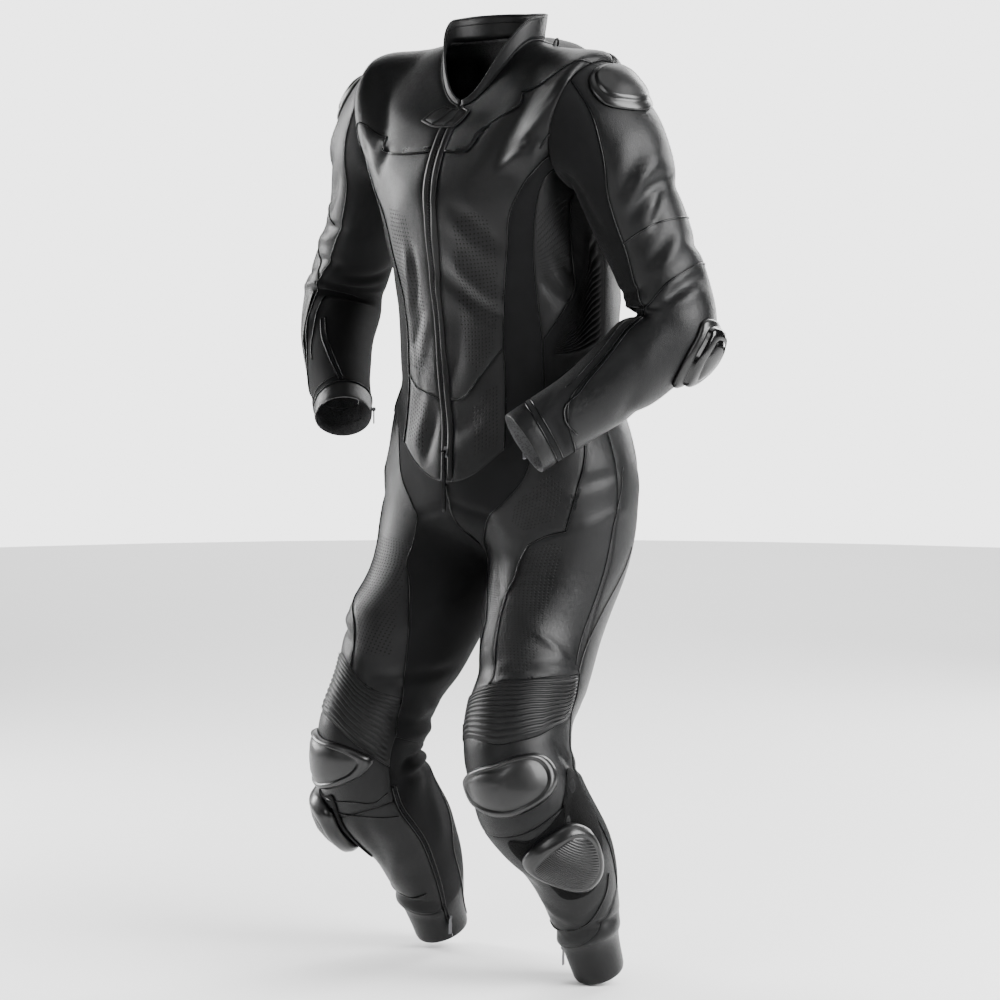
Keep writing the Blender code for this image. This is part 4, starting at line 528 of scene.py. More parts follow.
# Finer creases, as the large folds; a seventh number bends a crease along its length.
CREASES = {
    "leg_right": (
        (0.86, 520, 45, 7, 8, -5, 0.1), (0.84, 538, 50, 8, 4, 3.5, 0.1), (0.85, 556, 45, 7, -4, -4, 0.1),
        (0.88, 600, 60, 10, 70, -2.2), (0.9, 470, 50, 10, 25, 3, 0.1), (0.88, 452, 50, 9, 30, -3, 0.1),
        (0.12, 640, 50, 12, 75, -1.8), (0.16, 700, 45, 10, 60, 1.6), (0.4, 110, 42, 8, 40, 3.2),
        (0.375, 140, 36, 7, 45, -3), (0.425, 172, 40, 8, 50, 2.2), (0.3, 380, 42, 8, -30, -3),
        (0.35, 350, 40, 8, -25, 2), (0.06, 80, 50, 8, 40, -3), (0.05, 230, 60, 10, 76, -3.6),
        (0.09, 300, 55, 9, 82, 2.2), (0.02, 400, 50, 8, 30, -3.6), (-0.05, 460, 50, 8, 10, -3.6),
        (0.96, 560, 50, 10, 70, -3), (0.9, 640, 50, 10, 72, 2.4), (0.25, 780, 80, 8, -5, 3.6, 0.2),
        (0.25, 762, 80, 4, -6, -3, 0.2), (0.15, 640, 50, 9, 70, -2.2), (0.7, 425, 60, 8, -4, -4),
        (0.67, 470, 60, 8, 8, -4), (0.85, 445, 50, 8, -8, -3.6), (0.68, 110, 60, 12, 58, -3.2),
        (0.87, 100, 60, 12, -58, -3.2), (0.75, 215, 55, 10, -8, -3.2), (0.72, 650, 45, 10, 76, -2.4)),
    "leg_left": (
        (0.1, 640, 50, 12, 75, -1.8), (0.42, 84, 42, 7, -8, -2.6), (0.45, 140, 45, 9, -14, 1.8),
        (0.33, 402, 50, 8, -20, 1.8), (0.36, 362, 32, 8, 42, 1.8), (0.28, 428, 45, 6, -10, -2),
        (0.19, 230, 45, 8, 68, -2.2), (0.15, 120, 45, 9, 60, 1.8), (0.06, 70, 50, 8, 40, -3),
        (0.02, 180, 60, 10, 72, -3.6), (0.06, 250, 60, 9, 80, 2.2), (-0.06, 300, 60, 10, 60, -3),
        (0.46, 540, 36, 7, 60, -2.2), (0.56, 560, 40, 8, 20, -3), (0.26, 777, 85, 9, -7, 4, 0.2),
        (0.25, 758, 85, 4, -8, -3.4, 0.2), (0.18, 730, 40, 7, 30, 1.6), (0.3, 740, 40, 6, -30, -1.6),
        (0.7, 420, 60, 8, 4, -4), (0.68, 465, 60, 8, -6, -4), (0.84, 440, 50, 8, 8, -3.6),
        (0.69, 100, 60, 12, 60, -3.2), (0.86, 90, 60, 12, -60, -3.2), (0.74, 205, 55, 10, 6, -3.2),
        (0.7, 640, 45, 10, 78, -2.4), (0.76, 715, 40, 8, 20, -2.4)),
    "torso": (
        (45, 392, 36, 8, -52, 4.5), (41, 378, 34, 7, -52, -3.5), (49, 402, 30, 6, -52, -2.2),
        (14, 237, 56, 9, -38, -4.8, 0.1), (19, 252, 50, 10, -40, 2.6, 0.1), (22, 336, 45, 10, -42, -2.6),
        (18, 318, 45, 10, -42, 2), (28, 495, 30, 12, 35, 1.5), (4, 180, 50, 10, 82, -2),
        (12, 50, 45, 12, 20, 1.6), (62, 225, 36, 8, -50, -2.8), (66, 238, 30, 8, -50, 2.2),
        (71, 262, 30, 6, -45, -2), (60, 462, 32, 10, 30, -2.2), (75, 480, 30, 8, 50, -2),
        (-37, 432, 30, 7, 60, 3), (-41, 420, 30, 6, 62, -3), (-33, 424, 30, 6, 72, -2.2),
        (-22, 250, 50, 9, 75, 3, 0.1), (-16, 262, 50, 7, 80, -3, 0.1), (-20, 190, 36, 7, 65, -3),
        (-15, 172, 40, 8, 70, 2.2), (-23, 130, 40, 8, 100, 2), (-16, 60, 45, 9, 72, 2.2),
        (-10, 45, 40, 7, 76, -2.6), (-62, 232, 36, 8, 50, -2.8), (-68, 250, 32, 8, 48, 2),
        (170, 32, 70, 10, 5, -3.2, 0.1), (-162, 62, 60, 9, -10, -3, 0.1), (150, 95, 55, 10, 14, 2.6),
        (122, 82, 50, 9, 25, -2.8), (-124, 105, 50, 9, -24, -2.8), (134, 442, 50, 11, 70, -3.2),
        (-132, 436, 50, 11, -68, -3.2), (121, 300, 50, 11, 62, -2.6), (-118, 312, 50, 11, -58, -2.6),
        (142, 215, 50, 10, 35, 2.2), (-145, 205, 50, 10, -30, 2.2)),
    "sleeve_left": (
        (0.42, 117, 45, 8, -28, 3.6, 0.2), (0.4, 102, 35, 8, -35, -3, 0.2),
        (0.42, 137, 42, 8, -28, -3.6, 0.1), (0.505, 129, 32, 5, -6, -3.2), (0.418, 166, 30, 7, -40, 2.6),
        (0.452, 162, 30, 7, -46, -3.2), (0.43, 226, 36, 9, -38, 2.8), (0.4, 214, 30, 7, -34, -2.2),
        (0.46, 273, 40, 7, -18, -4.2, 0.1), (0.425, 292, 36, 8, -20, 2.4), (0.34, 300, 36, 7, -35, -2.6),
        (0.42, 400, 45, 10, 60, 1.4), (0.5, 440, 40, 10, 50, -2), (0.3, 552, 26, 5, 70, -2),
        (0.35, 560, 20, 5, 78, 1.4), (0.48, 566, 30, 6, 6, -2.2), (0.16, 300, 50, 9, 0, -5, 0.1),
        (0.12, 338, 50, 8, 10, -5), (0.18, 268, 40, 8, -15, -4), (0.05, 320, 50, 8, 0, -4),
        (0.1, 256, 40, 8, 10, -3), (0.18, 110, 60, 10, 72, -3.6), (0.68, 150, 50, 10, 20, -2.8),
        (0.64, 230, 45, 9, 15, -3), (0.69, 440, 45, 9, -30, -2.4)),
    "sleeve_right": (
        (0.3, 196, 40, 7, 30, -3.2), (0.34, 228, 36, 7, 35, 2.6), (0.285, 258, 40, 7, 25, -4.2, 0.1),
        (0.35, 288, 32, 6, 38, -3.2), (0.3, 312, 32, 6, 28, 2.4), (0.4, 118, 40, 8, 50, -3.2),
        (0.37, 90, 32, 7, 60, 2.4), (0.32, 140, 40, 7, 65, -2.6), (0.35, 372, 32, 6, 70, -2.2),
        (0.3, 420, 36, 7, 60, 2), (0.1, 288, 50, 8, 5, -5), (0.05, 258, 50, 8, 10, -4),
        (0.13, 326, 45, 8, 0, -4.2), (0, 304, 50, 8, -5, -4), (0.13, 130, 60, 10, 75, -3.4),
        (0.64, 210, 45, 9, 15, -3)),
}
FOLD_WIDTH, FOLD_DEPTH = 1.2, 1.35     # by which every crease is wider and deeper than its row says


def soft_folds(rows, surface, where, scale):
    """Sum of a surface's creases: each a long bell along its direction, as wide as its half width."""
    lift = np.zeros(len(where))
    for a, b, half_length, half_width, direction, height, *bend in rows.get(surface, ()):
        b, half_length, half_width, height = (v / 1000 for v in (b, half_length, half_width, height))
        away = where[:, 0] - a
        if surface == "torso":
            away = (away + 180) % 360 - 180
        else:
            closed = where[:, 1] > (CROTCH if surface.startswith("leg") else -1.0)
            away = np.where(closed, (away + 0.5) % 1 - 0.5, away)
        x, y = away * scale(where[:, 1]), where[:, 1] - b
        c, s = np.cos(np.radians(direction)), np.sin(np.radians(direction))
        u = (x * c + y * s) / half_length
        v = (y * c - x * s - (bend[0] if bend else 0.0) * half_length * u * u) / (FOLD_WIDTH * half_width)
        lift += FOLD_DEPTH * height * np.exp(-u ** 4 - v * v)
    return lift


WAVES = ((61, 38, 52, 0.3), (-44, 70, 31, 1.9), (25, -58, 83, 4.1), (92, 21, -37, 2.6),
         (-75, -49, 66, 5.2))
WAVE_HEIGHT = 0.00022
EDGE_FADE = 0.03          # reach over which folds die out where a surface ends
AHEAD = 0.001             # step along a line that gives its direction


def undulation(points):
    """Small uneven waves of worn leather: a sum of slanted sines in space."""
    return WAVE_HEIGHT * sum(np.sin(points @ np.array(wave[:3]) + wave[3]) for wave in WAVES)


# ---------------------------------------------------------------- the cut of each surface
def closed_rows(rows, scale, step):
    """Points of a closed outline, with all its rows kept."""
    rows = [tuple(map(float, row)) for row in rows]
    looped = rows[-2:] + rows + rows[:3]
    points = smooth_rows(looped, scale, step)
    first = points.index(rows[0], points.index(rows[-1]))
    last = points.index(rows[0], first + 1)
    return points[first:last + 1]


def nearest(points, starts, ends):
    """Distance from each point to the nearest of the segments."""
    along = ends - starts
    size = np.maximum((along ** 2).sum(-1), 1e-14)
    found = np.empty(len(points))
    for first in range(0, len(points), 256):
        part = points[first:first + 256, None] - starts
        t = np.clip((part * along).sum(-1) / size, 0, 1)[..., None]
        found[first:first + 256] = np.sqrt(((part - t * along) ** 2).sum(-1).min(1))
    return found


def left_of(way):
    """Directions on the flat cut, turned a quarter to the left."""
    return np.stack([-way[:, 1], way[:, 0]], -1)


def distances(line):
    """Distance along a line of the flat cut, at each of its points."""
    return np.concatenate([[0], np.cumsum(np.hypot(*np.diff(line, axis=0).T))])


def places_on(line, at):
    """Places at given distances along a line of the flat cut, and its direction there."""
    middle, ahead = (np.stack([np.interp(at + step, distances(line), line[:, k]) for k in (0, 1)], -1)
                     for step in (0.0, AHEAD))
    return middle, unit(ahead - middle)


def joined(count, pairs):
    """For each of count triangles, the lowest number among all that it is joined to."""
    root = np.arange(count)
    while True:
        low = np.minimum(root[pairs[:, 0]], root[pairs[:, 1]])
        new = root.copy()
        np.minimum.at(new, root[pairs[:, 0]], low)
        np.minimum.at(new, root[pairs[:, 1]], low)
        new = new[new][new]
        if (new == root).all():
            return root
        root = new


class Cut:
    """One surface cut along its seams: points, triangles, and which panel each triangle is in."""

    def __init__(self, place, scale, seams, marks, seeds, span):
        self.place, self.scale, self.names = place, scale, list(seeds)
        lines = [self.to_plane(line) for line in seams + marks]
        sewn = len(seams)
        starts, ends = self.segments(lines)
        self.sewn = self.segments(lines[:sewn])
        free = self.beside(lines[:sewn])
        free = free[nearest(free, *self.sewn) > 0.8 * SEAM_ROWS[0]]
        if len(marks):
            free = free[nearest(free, *self.segments(lines[sewn:])) > 0.0008]
        grid = self.grid(span)
        grid = grid[nearest(grid, *self.sewn) > SEAM_ROWS[-1] + 0.35 * CELL]
        if len(marks):
            grid = grid[nearest(grid, *self.segments(lines[sewn:])) > 0.45 * CELL]
        first, edges, cuts = 0, [], []
        for number, line in enumerate(lines):
            edges += [(first + i, first + i + 1) for i in range(len(line) - 1)]
            cuts += [number < sewn] * (len(line) - 1)
            first += len(line)
        flat = np.concatenate(lines + [free, grid])
        points, out_edges, faces, _, origin, _ = delaunay_2d_cdt(
            [Vector(point) for point in flat], edges, [], 0, 1e-7)
        self.plane = np.array([tuple(point) for point in points])
        self.faces = np.array([face for face in faces if len(face) == 3])
        self.where = np.stack([self.plane[:, 0] / scale(self.plane[:, 1]), self.plane[:, 1]], -1)
        cut = [edge for edge, source in zip(out_edges, origin)
               if any(k < len(cuts) and cuts[k] for k in source)]
        self.label = self.named(np.sort(np.array(cut), 1), seeds)
        self.lines, self.sewn_lines = lines, sewn

    def to_plane(self, line):
        line = np.array(line, float)
        return np.stack([line[:, 0] * self.scale(line[:, 1]), line[:, 1]], -1)

    @staticmethod
    def segments(lines):
        return tuple(np.concatenate([line[part] for line in lines]) for part in (np.s_[:-1], np.s_[1:]))

    @staticmethod
    def beside(lines):
        """Rows of points at fixed distances on both sides of every line."""
        out = []
        for line in lines:
            across = left_of(unit(np.gradient(line, axis=0)))
            out += [line + across * away for row in SEAM_ROWS for away in (row, -row)]
        return np.concatenate(out)

    def grid(self, span):
        """Staggered rows of points over the whole surface."""
        (a0, a1), (b0, b1) = span
        rows = int(round((b1 - b0) / CELL))
        out = []
        for i in range(1, rows):
            b = b0 + (b1 - b0) * i / rows
            wide = float(self.scale(b))
            count = max(int((a1 - a0) * wide / CELL), 1)
            a = a0 + (a1 - a0) * (np.arange(count + 1) + 0.5 * (i % 2)) / count
            out.append(np.stack([a * wide, np.full(count + 1, b)], -1))
        return np.concatenate(out)

    def named(self, cut, seeds):
        """The number of the panel that each triangle is in, or -1 outside all of them."""
        edges = np.sort(np.concatenate([self.faces[:, [0, 1]], self.faces[:, [1, 2]],
                                        self.faces[:, [2, 0]]]), 1)
        code = edges[:, 0] * len(self.plane) + edges[:, 1]
        owner = np.tile(np.arange(len(self.faces)), 3)
        order = np.argsort(code, kind="stable")
        code, owner = code[order], owner[order]
        shared = (code[1:] == code[:-1]) & ~np.isin(code[1:], cut[:, 0] * len(self.plane) + cut[:, 1])
        root = joined(len(self.faces), np.stack([owner[1:][shared], owner[:-1][shared]], -1))
        label = np.full(len(self.faces), -1)
        for number, seed in enumerate(seeds.values()):
            first = self.holding(self.to_plane([seed])[0])
            if label[first] >= 0:
                raise ValueError("two panels share the place of " + self.names[number])
            label[root == root[first]] = number
        return label

    def holding(self, point):
        """The triangle that holds a point."""
        a, b, c = (self.plane[self.faces[:, k]] for k in range(3))
        turn = [(q[:, 0] - p[:, 0]) * (point[1] - p[:, 1]) - (q[:, 1] - p[:, 1]) * (point[0] - p[:, 0])
                for p, q in ((a, b), (b, c), (c, a))]
        turn = np.stack(turn, -1)
        return int(np.nonzero((turn >= 0).all(1) | (turn <= 0).all(1))[0][0])


class Ribs:
    """An accordion between two rows: its lines of points, and its height at any place."""

    def __init__(self, top, foot, count, trim):
        self.top, self.foot, self.count, self.trim = np.array(top), np.array(foot), count, trim

    def ends(self, t):
        low = self.top[0, 0] * (1 - t) + self.foot[0, 0] * t
        high = self.top[-1, 0] * (1 - t) + self.foot[-1, 0] * t
        return low + self.trim, high - self.trim

    def lines(self, scale, step):
        out = []
        middle = 0.5 * (self.top[0, 0] + self.top[-1, 0])
        wide = abs(self.top[-1, 0] - self.top[0, 0]) * float(scale(np.interp(middle, *self.top.T)))
        parts = max(2, int(np.ceil(wide / step)))
        for k in range(1, RIB_STEPS * self.count):
            t = k / (RIB_STEPS * self.count)
            low, high = self.ends(t)
            a = np.linspace(low, high, parts + 1)
            out.append(list(zip(a, np.interp(a, *self.top.T) * (1 - t) + np.interp(a, *self.foot.T) * t)))
        return out

    def height(self, where, reach):
        """Round ribs with sharp valleys, that run out over `reach` at their two ends."""
        a, b = where.T
        top, foot = np.interp(a, *self.top.T), np.interp(a, *self.foot.T)
        t = (b - top) / (foot - top)
        low, high = self.ends(np.clip(t, 0, 1))
        held = ((t > 0) & (t < 1)) * ease((a - low) / reach) * ease((high - a) / reach)
        return RIB_HEIGHT * held * np.abs(np.sin(np.pi * self.count * t)) ** 0.75


def mirrored(rows, side):
    return [(side * a, b) for a, b in rows][::side]


# A place inside each panel that the torso has on both sides of its front.
FRONT_PANELS = (("yoke", 20, 0.53), ("chest", 20, 0.30), ("belly", 15, 0.05), ("strip", 45, 0.29),
                ("side_front", 66, 0.25), ("flank", 74, 0.06))


def torso_cut():
    scale = scale_of(TORSO_SCALE)

    def curve(rows, side, shift=0.0):
        return smooth_rows(torso_rows(rows, side, shift), scale, SEAM_STEP)

    def hole_line(side, first, last, shift=0.0):
        parts = LATTICE // HOLE_STEPS
        return torso_rows([("hole", k / parts) for k in range(first * parts, last * parts + 1)], side, shift)

    waist_step = 180 / LATTICE
    waist = sorted([-262.5 + waist_step * k for k in range(int(360 / waist_step) + 1)] + [-2.5, 2.5])
    neck = sorted([-255.0 + 3 * k for k in range(121)] + [-4.5, -1.5, 1.5, 4.5])
    seams = [[(d, 0.0) for d in waist], [(d, TORSO_TOP) for d in neck]]
    seams += [curve(FLANK_SEAM, 1), curve(FLANK_SEAM, 1, -360), curve(FLANK_SEAM, -1)]
    seams += [curve(SHOULDER_SEAM, 1), curve(SHOULDER_SEAM, 1, -360), curve(SHOULDER_SEAM, -1)]
    seams += [hole_line(1, -1, 13), hole_line(1, 13, 23, -360), hole_line(-1, 0, 24)]
    for side in (1, -1):
        seams.append(smooth_rows([zip_edge(h, side) for h in ZIP_STOPS], scale, SEAM_STEP))
        for rows in (YOKE_SEAM[side], CHEST_SEAM[side], STRIP_INNER, STRIP_OUTER, SIDE_SEAM):
            seams.append(curve(rows, side))
    ribs = [Ribs(mirrored(FLANK_TOP, side), mirrored(FLANK_FOOT, side), FLANK_RIBS, 1.5)
            for side in (1, -1)]
    marks = [line for rib in ribs for line in rib.lines(scale, SEAM_STEP)]
    heights = np.arange(0.004, TORSO_TOP - 0.002, SEAM_STEP)
    middle, half = zip_place(heights)
    marks += [list(zip(middle + share * half, heights)) for share in ZIP_ROWS]
    seeds = {"zip_band": (0.3, 0.301)}
    for name, degrees, height in FRONT_PANELS:
        seeds.update({name + word: (side * degrees, height) for side, word in ((1, "_left"), (-1, "_right"))})
    seeds["back"] = (-180, 0.25)
    cut = Cut(torso, scale, seams, marks, seeds, ((-262.5, 105.0), (0.0, TORSO_TOP)))
    cut.first_inner = 11      # after the waist, the neck and the seams shared with the sleeves
    return cut, ribs


def soft_leg(turn, along, side):
    """The leg with its bend at the crotch rounded: there each place is a mean of five rows of the form."""
    turn, along = np.broadcast_arrays(np.asarray(turn, float), np.asarray(along, float))
    apart = np.abs((turn + 0.5) % 1 - 0.5)
    reach = (CROTCH_SOFT * np.exp(-((along - CROTCH) / CROTCH_REACH) ** 2)
             * ease((apart - CROTCH_KEPT) / CROTCH_FADE))
    turn = np.where((turn < 0) & (along > CROTCH), turn + 1, turn)
    return sum(share * leg(turn, along + step * reach, side) for step, share in CROTCH_MEAN)


CROTCH_MEAN = ((-1.0, 0.12), (-0.5, 0.22), (0.0, 0.32), (0.5, 0.22), (1.0, 0.12))   # step, share
CROTCH_SOFT, CROTCH_REACH = 0.050, 0.08       # how far the five rows lie apart at most, and near what
CROTCH_KEPT, CROTCH_FADE = 0.02, 0.12         # turns beside the middle seam that stay, and that fade


def leg_cut(side):
    scale = scale_of(LEG_SCALE)
    word, length = SIDE_NAMES[side], LEG_LENGTH[side]
    waist = sorted([k / LATTICE for k in range(LATTICE + 1)] + [2.5 / 180])
    middle = stops((0.0, CROTCH), SEAM_STEP)
    cut = stops((CROTCH, KNEE_BACK), SEAM_STEP)
    zip_line = stops((KNEE_BACK, RIBS_BOTTOM[side][0][1], KNEE_SEAM[0][1], ANKLE_AT, length), SEAM_STEP)
    quarter = LATTICE // 4
    seams = [[(u, 0.0) for u in waist], [(0.0, s) for s in middle], [(1.0, s) for s in middle],
             straight(-0.25, CROTCH, 0.0, CROTCH, quarter), straight(0.75, CROTCH, 1.0, CROTCH, quarter),
             [(-0.25, s) for s in cut], [(0.75, s) for s in cut],
             straight(-0.25, KNEE_BACK, 0.0, KNEE_BACK, quarter),
             straight(0.5, KNEE_BACK, 1.0, KNEE_BACK, 2 * quarter),
             [(0.0, s) for s in zip_line], [(1.0, s) for s in zip_line],
             straight(0.0, length, 1.0, length, LATTICE // 2)]
    seams += [smooth_rows(rows, scale, SEAM_STEP)
              for rows in (LEG_INNER[side], LEG_FRONT[side], LEG_SIDE, RIBS_TOP[side], RIBS_BOTTOM[side],
                           KNEE_SEAM, ANKLE_SEAM)]
    ribs = [Ribs(RIBS_TOP[side], RIBS_BOTTOM[side], KNEE_RIBS, 0.004)]
    seeds = {"inner": (0.0, 0.30), "thigh_front": (0.17, 0.20) if side > 0 else (0.27, 0.22),
             "thigh_side": (0.42, 0.20), "seat": (0.70, 0.15), "knee_ribs": (0.25, 0.4625),
             "knee": (0.25, 0.55), "shin": (0.25, 0.72), "calf": (0.75, 0.65), "ankle_cuff": (0.25, 0.83)}
    seeds = {"leg_%s_%s" % (key, word): place for key, place in seeds.items()}
    cut = Cut(lambda a, b: soft_leg(a, b, side), scale, seams, ribs[0].lines(scale, SEAM_STEP), seeds,
              ((-0.25, 1.0), (0.0, length)))
    cut.first_inner = len(seams) - 7
    return cut, ribs


def sleeve_seams(side):
    """The long seams of a sleeve."""
    shorter = FOREARM_SCALE[side]
    forearm = [(u, round(s * shorter, 5)) for u, s in FOREARM_SEAM]
    cuff = [(u, round(s * shorter, 5)) for u, s in CUFF_SEAM]
    return list(SLEEVE_FRONT[side][:-1]) + [forearm[6]], forearm, cuff


def sleeve_cut(side):
    scale = scale_of(SLEEVE_SCALE)
    word, length = SIDE_NAMES[side], SLEEVE_LENGTH[side]
    shorter = FOREARM_SCALE[side]
    front, forearm, cuff = sleeve_seams(side)
    edge = stops((0.0, forearm[0][1], forearm[-1][1], cuff[0][1], length), SEAM_STEP)
    hole_line = [(k / LATTICE - 0.25, 0.0) for k in range(LATTICE + 1)]
    seams = [hole_line, [(-0.25, s) for s in edge], [(0.75, s) for s in edge],
             straight(-0.25, length, 0.75, length, LATTICE // 2)]
    seams += [smooth_rows(rows, scale, SEAM_STEP) for rows in (front, forearm, cuff)]
    seeds = {"inner": (0.0, 0.30), "upper": (0.5, 0.15), "forearm": (0.45, 0.45 * shorter),
             "cuff": (0.25, 0.605 * shorter)}
    seeds = {"sleeve_%s_%s" % (key, word): place for key, place in seeds.items()}
    cut = Cut(lambda a, b: sleeve(a, b, side), scale, seams, [], seeds, ((-0.25, 0.75), (0.0, length)))
    cut.first_inner = len(seams) - 3
    return cut, []


class Surface:
    """A cut surface in space: points, outward normals, and the lift of its outer sheet."""

    def __init__(self, name, cut, ribs, sign, steps, ends):
        self.name, self.cut, self.ribs, self.sign = name, cut, ribs, sign
        self.steps, self.ends = steps, ends
        self.points = cut.place(*cut.where.T)
        self.normals = self.normals_at(cut.where)
        self.seam = nearest(cut.plane, *cut.sewn)
        self.lift = self.folds(cut.where, self.points)
        self.rib = self.rib_height(cut.where) * ease((self.seam - 0.001) / 0.004)

    def normals_at(self, where):
        """Outward normals from small steps round the body and along it."""
        a, b = where.T
        place, (da, db) = self.cut.place, self.steps
        return unit(self.sign * np.cross(place(a + da, b) - place(a - da, b),
                                         place(a, b + db) - place(a, b - db)))

    def folds(self, where, points):
        """All soft folds and waves, which die out where the surface is sewn to another."""
        b = where[:, 1]
        edge = ease((b - self.ends[0]) / EDGE_FADE) * ease((self.ends[1] - b) / EDGE_FADE)
        return edge * (soft_folds(FOLDS, self.name, where, self.cut.scale) + undulation(points)
                       + soft_folds(CREASES, self.name, where, self.cut.scale))

    def rib_height(self, where):
        reach = 3.0 if self.name == "torso" else 0.012
        return sum((rib.height(where, reach) for rib in self.ribs), np.zeros(len(where)))

    def spot(self, where, out=0.0):
        """Points at any places of the surface, moved out, and their normals."""
        where = np.asarray(where, float)
        points, normals = self.cut.place(*where.T), self.normals_at(where)
        away = self.folds(where, points) + self.rib_height(where) + out
        return points + normals * away[:, None], normals


def make_one(surfaces):
    """Where surfaces meet, their points get one normal, so that their walls stand side by side."""
    points = np.concatenate([s.points for s in surfaces])
    normals = np.concatenate([s.normals for s in surfaces])
    for offset in (0.0, 0.5):
        _, group = np.unique(np.floor(points / 1e-4 + offset), axis=0, return_inverse=True)
        group = group.reshape(-1)
        share = np.bincount(group)
        total = np.stack([np.bincount(group, normals[:, k]) for k in range(3)], -1) / share[:, None]
        flat = (np.linalg.norm(total, axis=1) < 0.35) & (share > 1)
        total[flat] = (0.0, 0.0, -1.0)
        normals = np.where((share > 1)[group][:, None], unit(total)[group], normals)
    on_middle = (np.abs(points[:, 0]) < 1e-6) & (np.abs(normals[:, 0]) < 0.9)
    normals[on_middle, 0] = 0.0
    normals = unit(normals)
    at = 0
    for s in surfaces:
        s.normals = normals[at:at + len(s.points)]
        at += len(s.points)


SURFACES = {}


def make_surfaces():
    SURFACES["torso"] = Surface("torso", *torso_cut(), 1, (0.5, 0.001), (0.0, TORSO_TOP))
    for side, word in SIDE_NAMES.items():
        for kind, cutter in (("leg_", leg_cut), ("sleeve_", sleeve_cut)):
            SURFACES[kind + word] = Surface(kind + word, *cutter(side), -side, (0.002, 0.001), (0.0, 2.0))
    make_one(list(SURFACES.values()))


# ---------------------------------------------------------------- meshes
def new_object(name, points, faces, materials, slots=None, smooth=True):
    """An object at the origin with its place in its mesh; faces are arrays of equal-sided polygons."""
    mesh = bpy.data.meshes.new(name)
    sizes = np.concatenate([np.full(len(part), part.shape[1]) for part in faces])
    mesh.vertices.add(len(points))
    mesh.vertices.foreach_set("co", np.asarray(points, np.float32).ravel())
    mesh.loops.add(int(sizes.sum()))
    corners = np.concatenate([part.ravel() for part in faces])
    mesh.loops.foreach_set("vertex_index", corners.astype(np.int32))
    mesh.polygons.add(len(sizes))
    mesh.polygons.foreach_set("loop_start", (np.cumsum(sizes) - sizes).astype(np.int32))
    mesh.polygons.foreach_set("use_smooth", np.full(len(sizes), smooth))
    for mat in materials:
        mesh.materials.append(mat)
    if slots is not None:
        mesh.polygons.foreach_set("material_index", np.asarray(slots, np.int32))
    mesh.update()
    mesh.validate()
    obj = bpy.data.objects.new(name, mesh)
    bpy.context.scene.collection.objects.link(obj)
    return obj


def give_uv(obj, plane):
    """The flat cut's own metres as the UV map."""
    layer = obj.data.uv_layers.new(name="Cut")
    index = np.empty(len(obj.data.loops), np.int32)
    obj.data.loops.foreach_get("vertex_index", index)
    layer.data.foreach_set("uv", np.asarray(plane, np.float32)[index].ravel())


def give_value(obj, name, values):
    obj.data.attributes.new(name, "FLOAT", "POINT").data.foreach_set("value", np.asarray(values, np.float32))


def border(faces):
    """Directed edges that only one triangle has."""
    edges = np.concatenate([faces[:, [0, 1]], faces[:, [1, 2]], faces[:, [2, 0]]])
    size = int(faces.max()) + 1
    here, back = edges[:, 0] * size + edges[:, 1], edges[:, 1] * size + edges[:, 0]
    return edges[~np.isin(here, back)]


def drawn_back(points, normals, edges, gap):
    """How far each border point moves into its own panel, so that every edge draws back by gap."""
    along = unit(points[edges[:, 1]] - points[edges[:, 0]])
    total = np.zeros_like(points)
    for end in (0, 1):
        np.add.at(total, edges[:, end], unit(np.cross(normals[edges[:, end]], along)))
    return gap * total / np.maximum((total ** 2).sum(-1, keepdims=True) / 2, 0.35)


def smallest_cut(plane, faces):
    """Width, length and area of the flat panel, in the rectangle that wastes least cloth."""
    a, b, c = (plane[faces[:, k]] for k in range(3))
    area = 0.5 * np.abs((b - a)[:, 0] * (c - a)[:, 1] - (b - a)[:, 1] * (c - a)[:, 0]).sum()
    best = None
    for turn in np.radians(np.arange(0, 90, 3)):
        x = plane @ np.array([np.cos(turn), np.sin(turn)])
        y = plane @ np.array([-np.sin(turn), np.cos(turn)])
        size = sorted((np.ptp(x), np.ptp(y)))
        if best is None or size[0] * size[1] < best[0] * best[1]:
            best = size
    return best[0], best[1], area


STRETCH = ("strip", "flank", "inner", "ribs", "calf")
ZIP_ROWS = (-0.82, -0.62, -0.42, -0.24, -0.12, 0.0, 0.12, 0.24, 0.42, 0.62, 0.82)
ZIP_PLACKET = ((-1.0, 0.0), (-0.82, 0.0016), (-0.55, 0.003), (-0.3, 0.0022), (-0.14, -0.0004),
               (0.14, -0.0004), (0.3, 0.0022), (0.55, 0.003), (0.82, 0.0016), (1.0, 0.0))


def placket_height(surface):
    """The two folded edges of the front zip, as a height over the zip band."""
    a, b = surface.cut.where.T
    middle, half = zip_place(b)
    share = (a - middle) / half
    x, height = np.array(ZIP_PLACKET).T
    return np.interp(share, x, height) * (np.abs(share) < 1) * ease(b / 0.02)


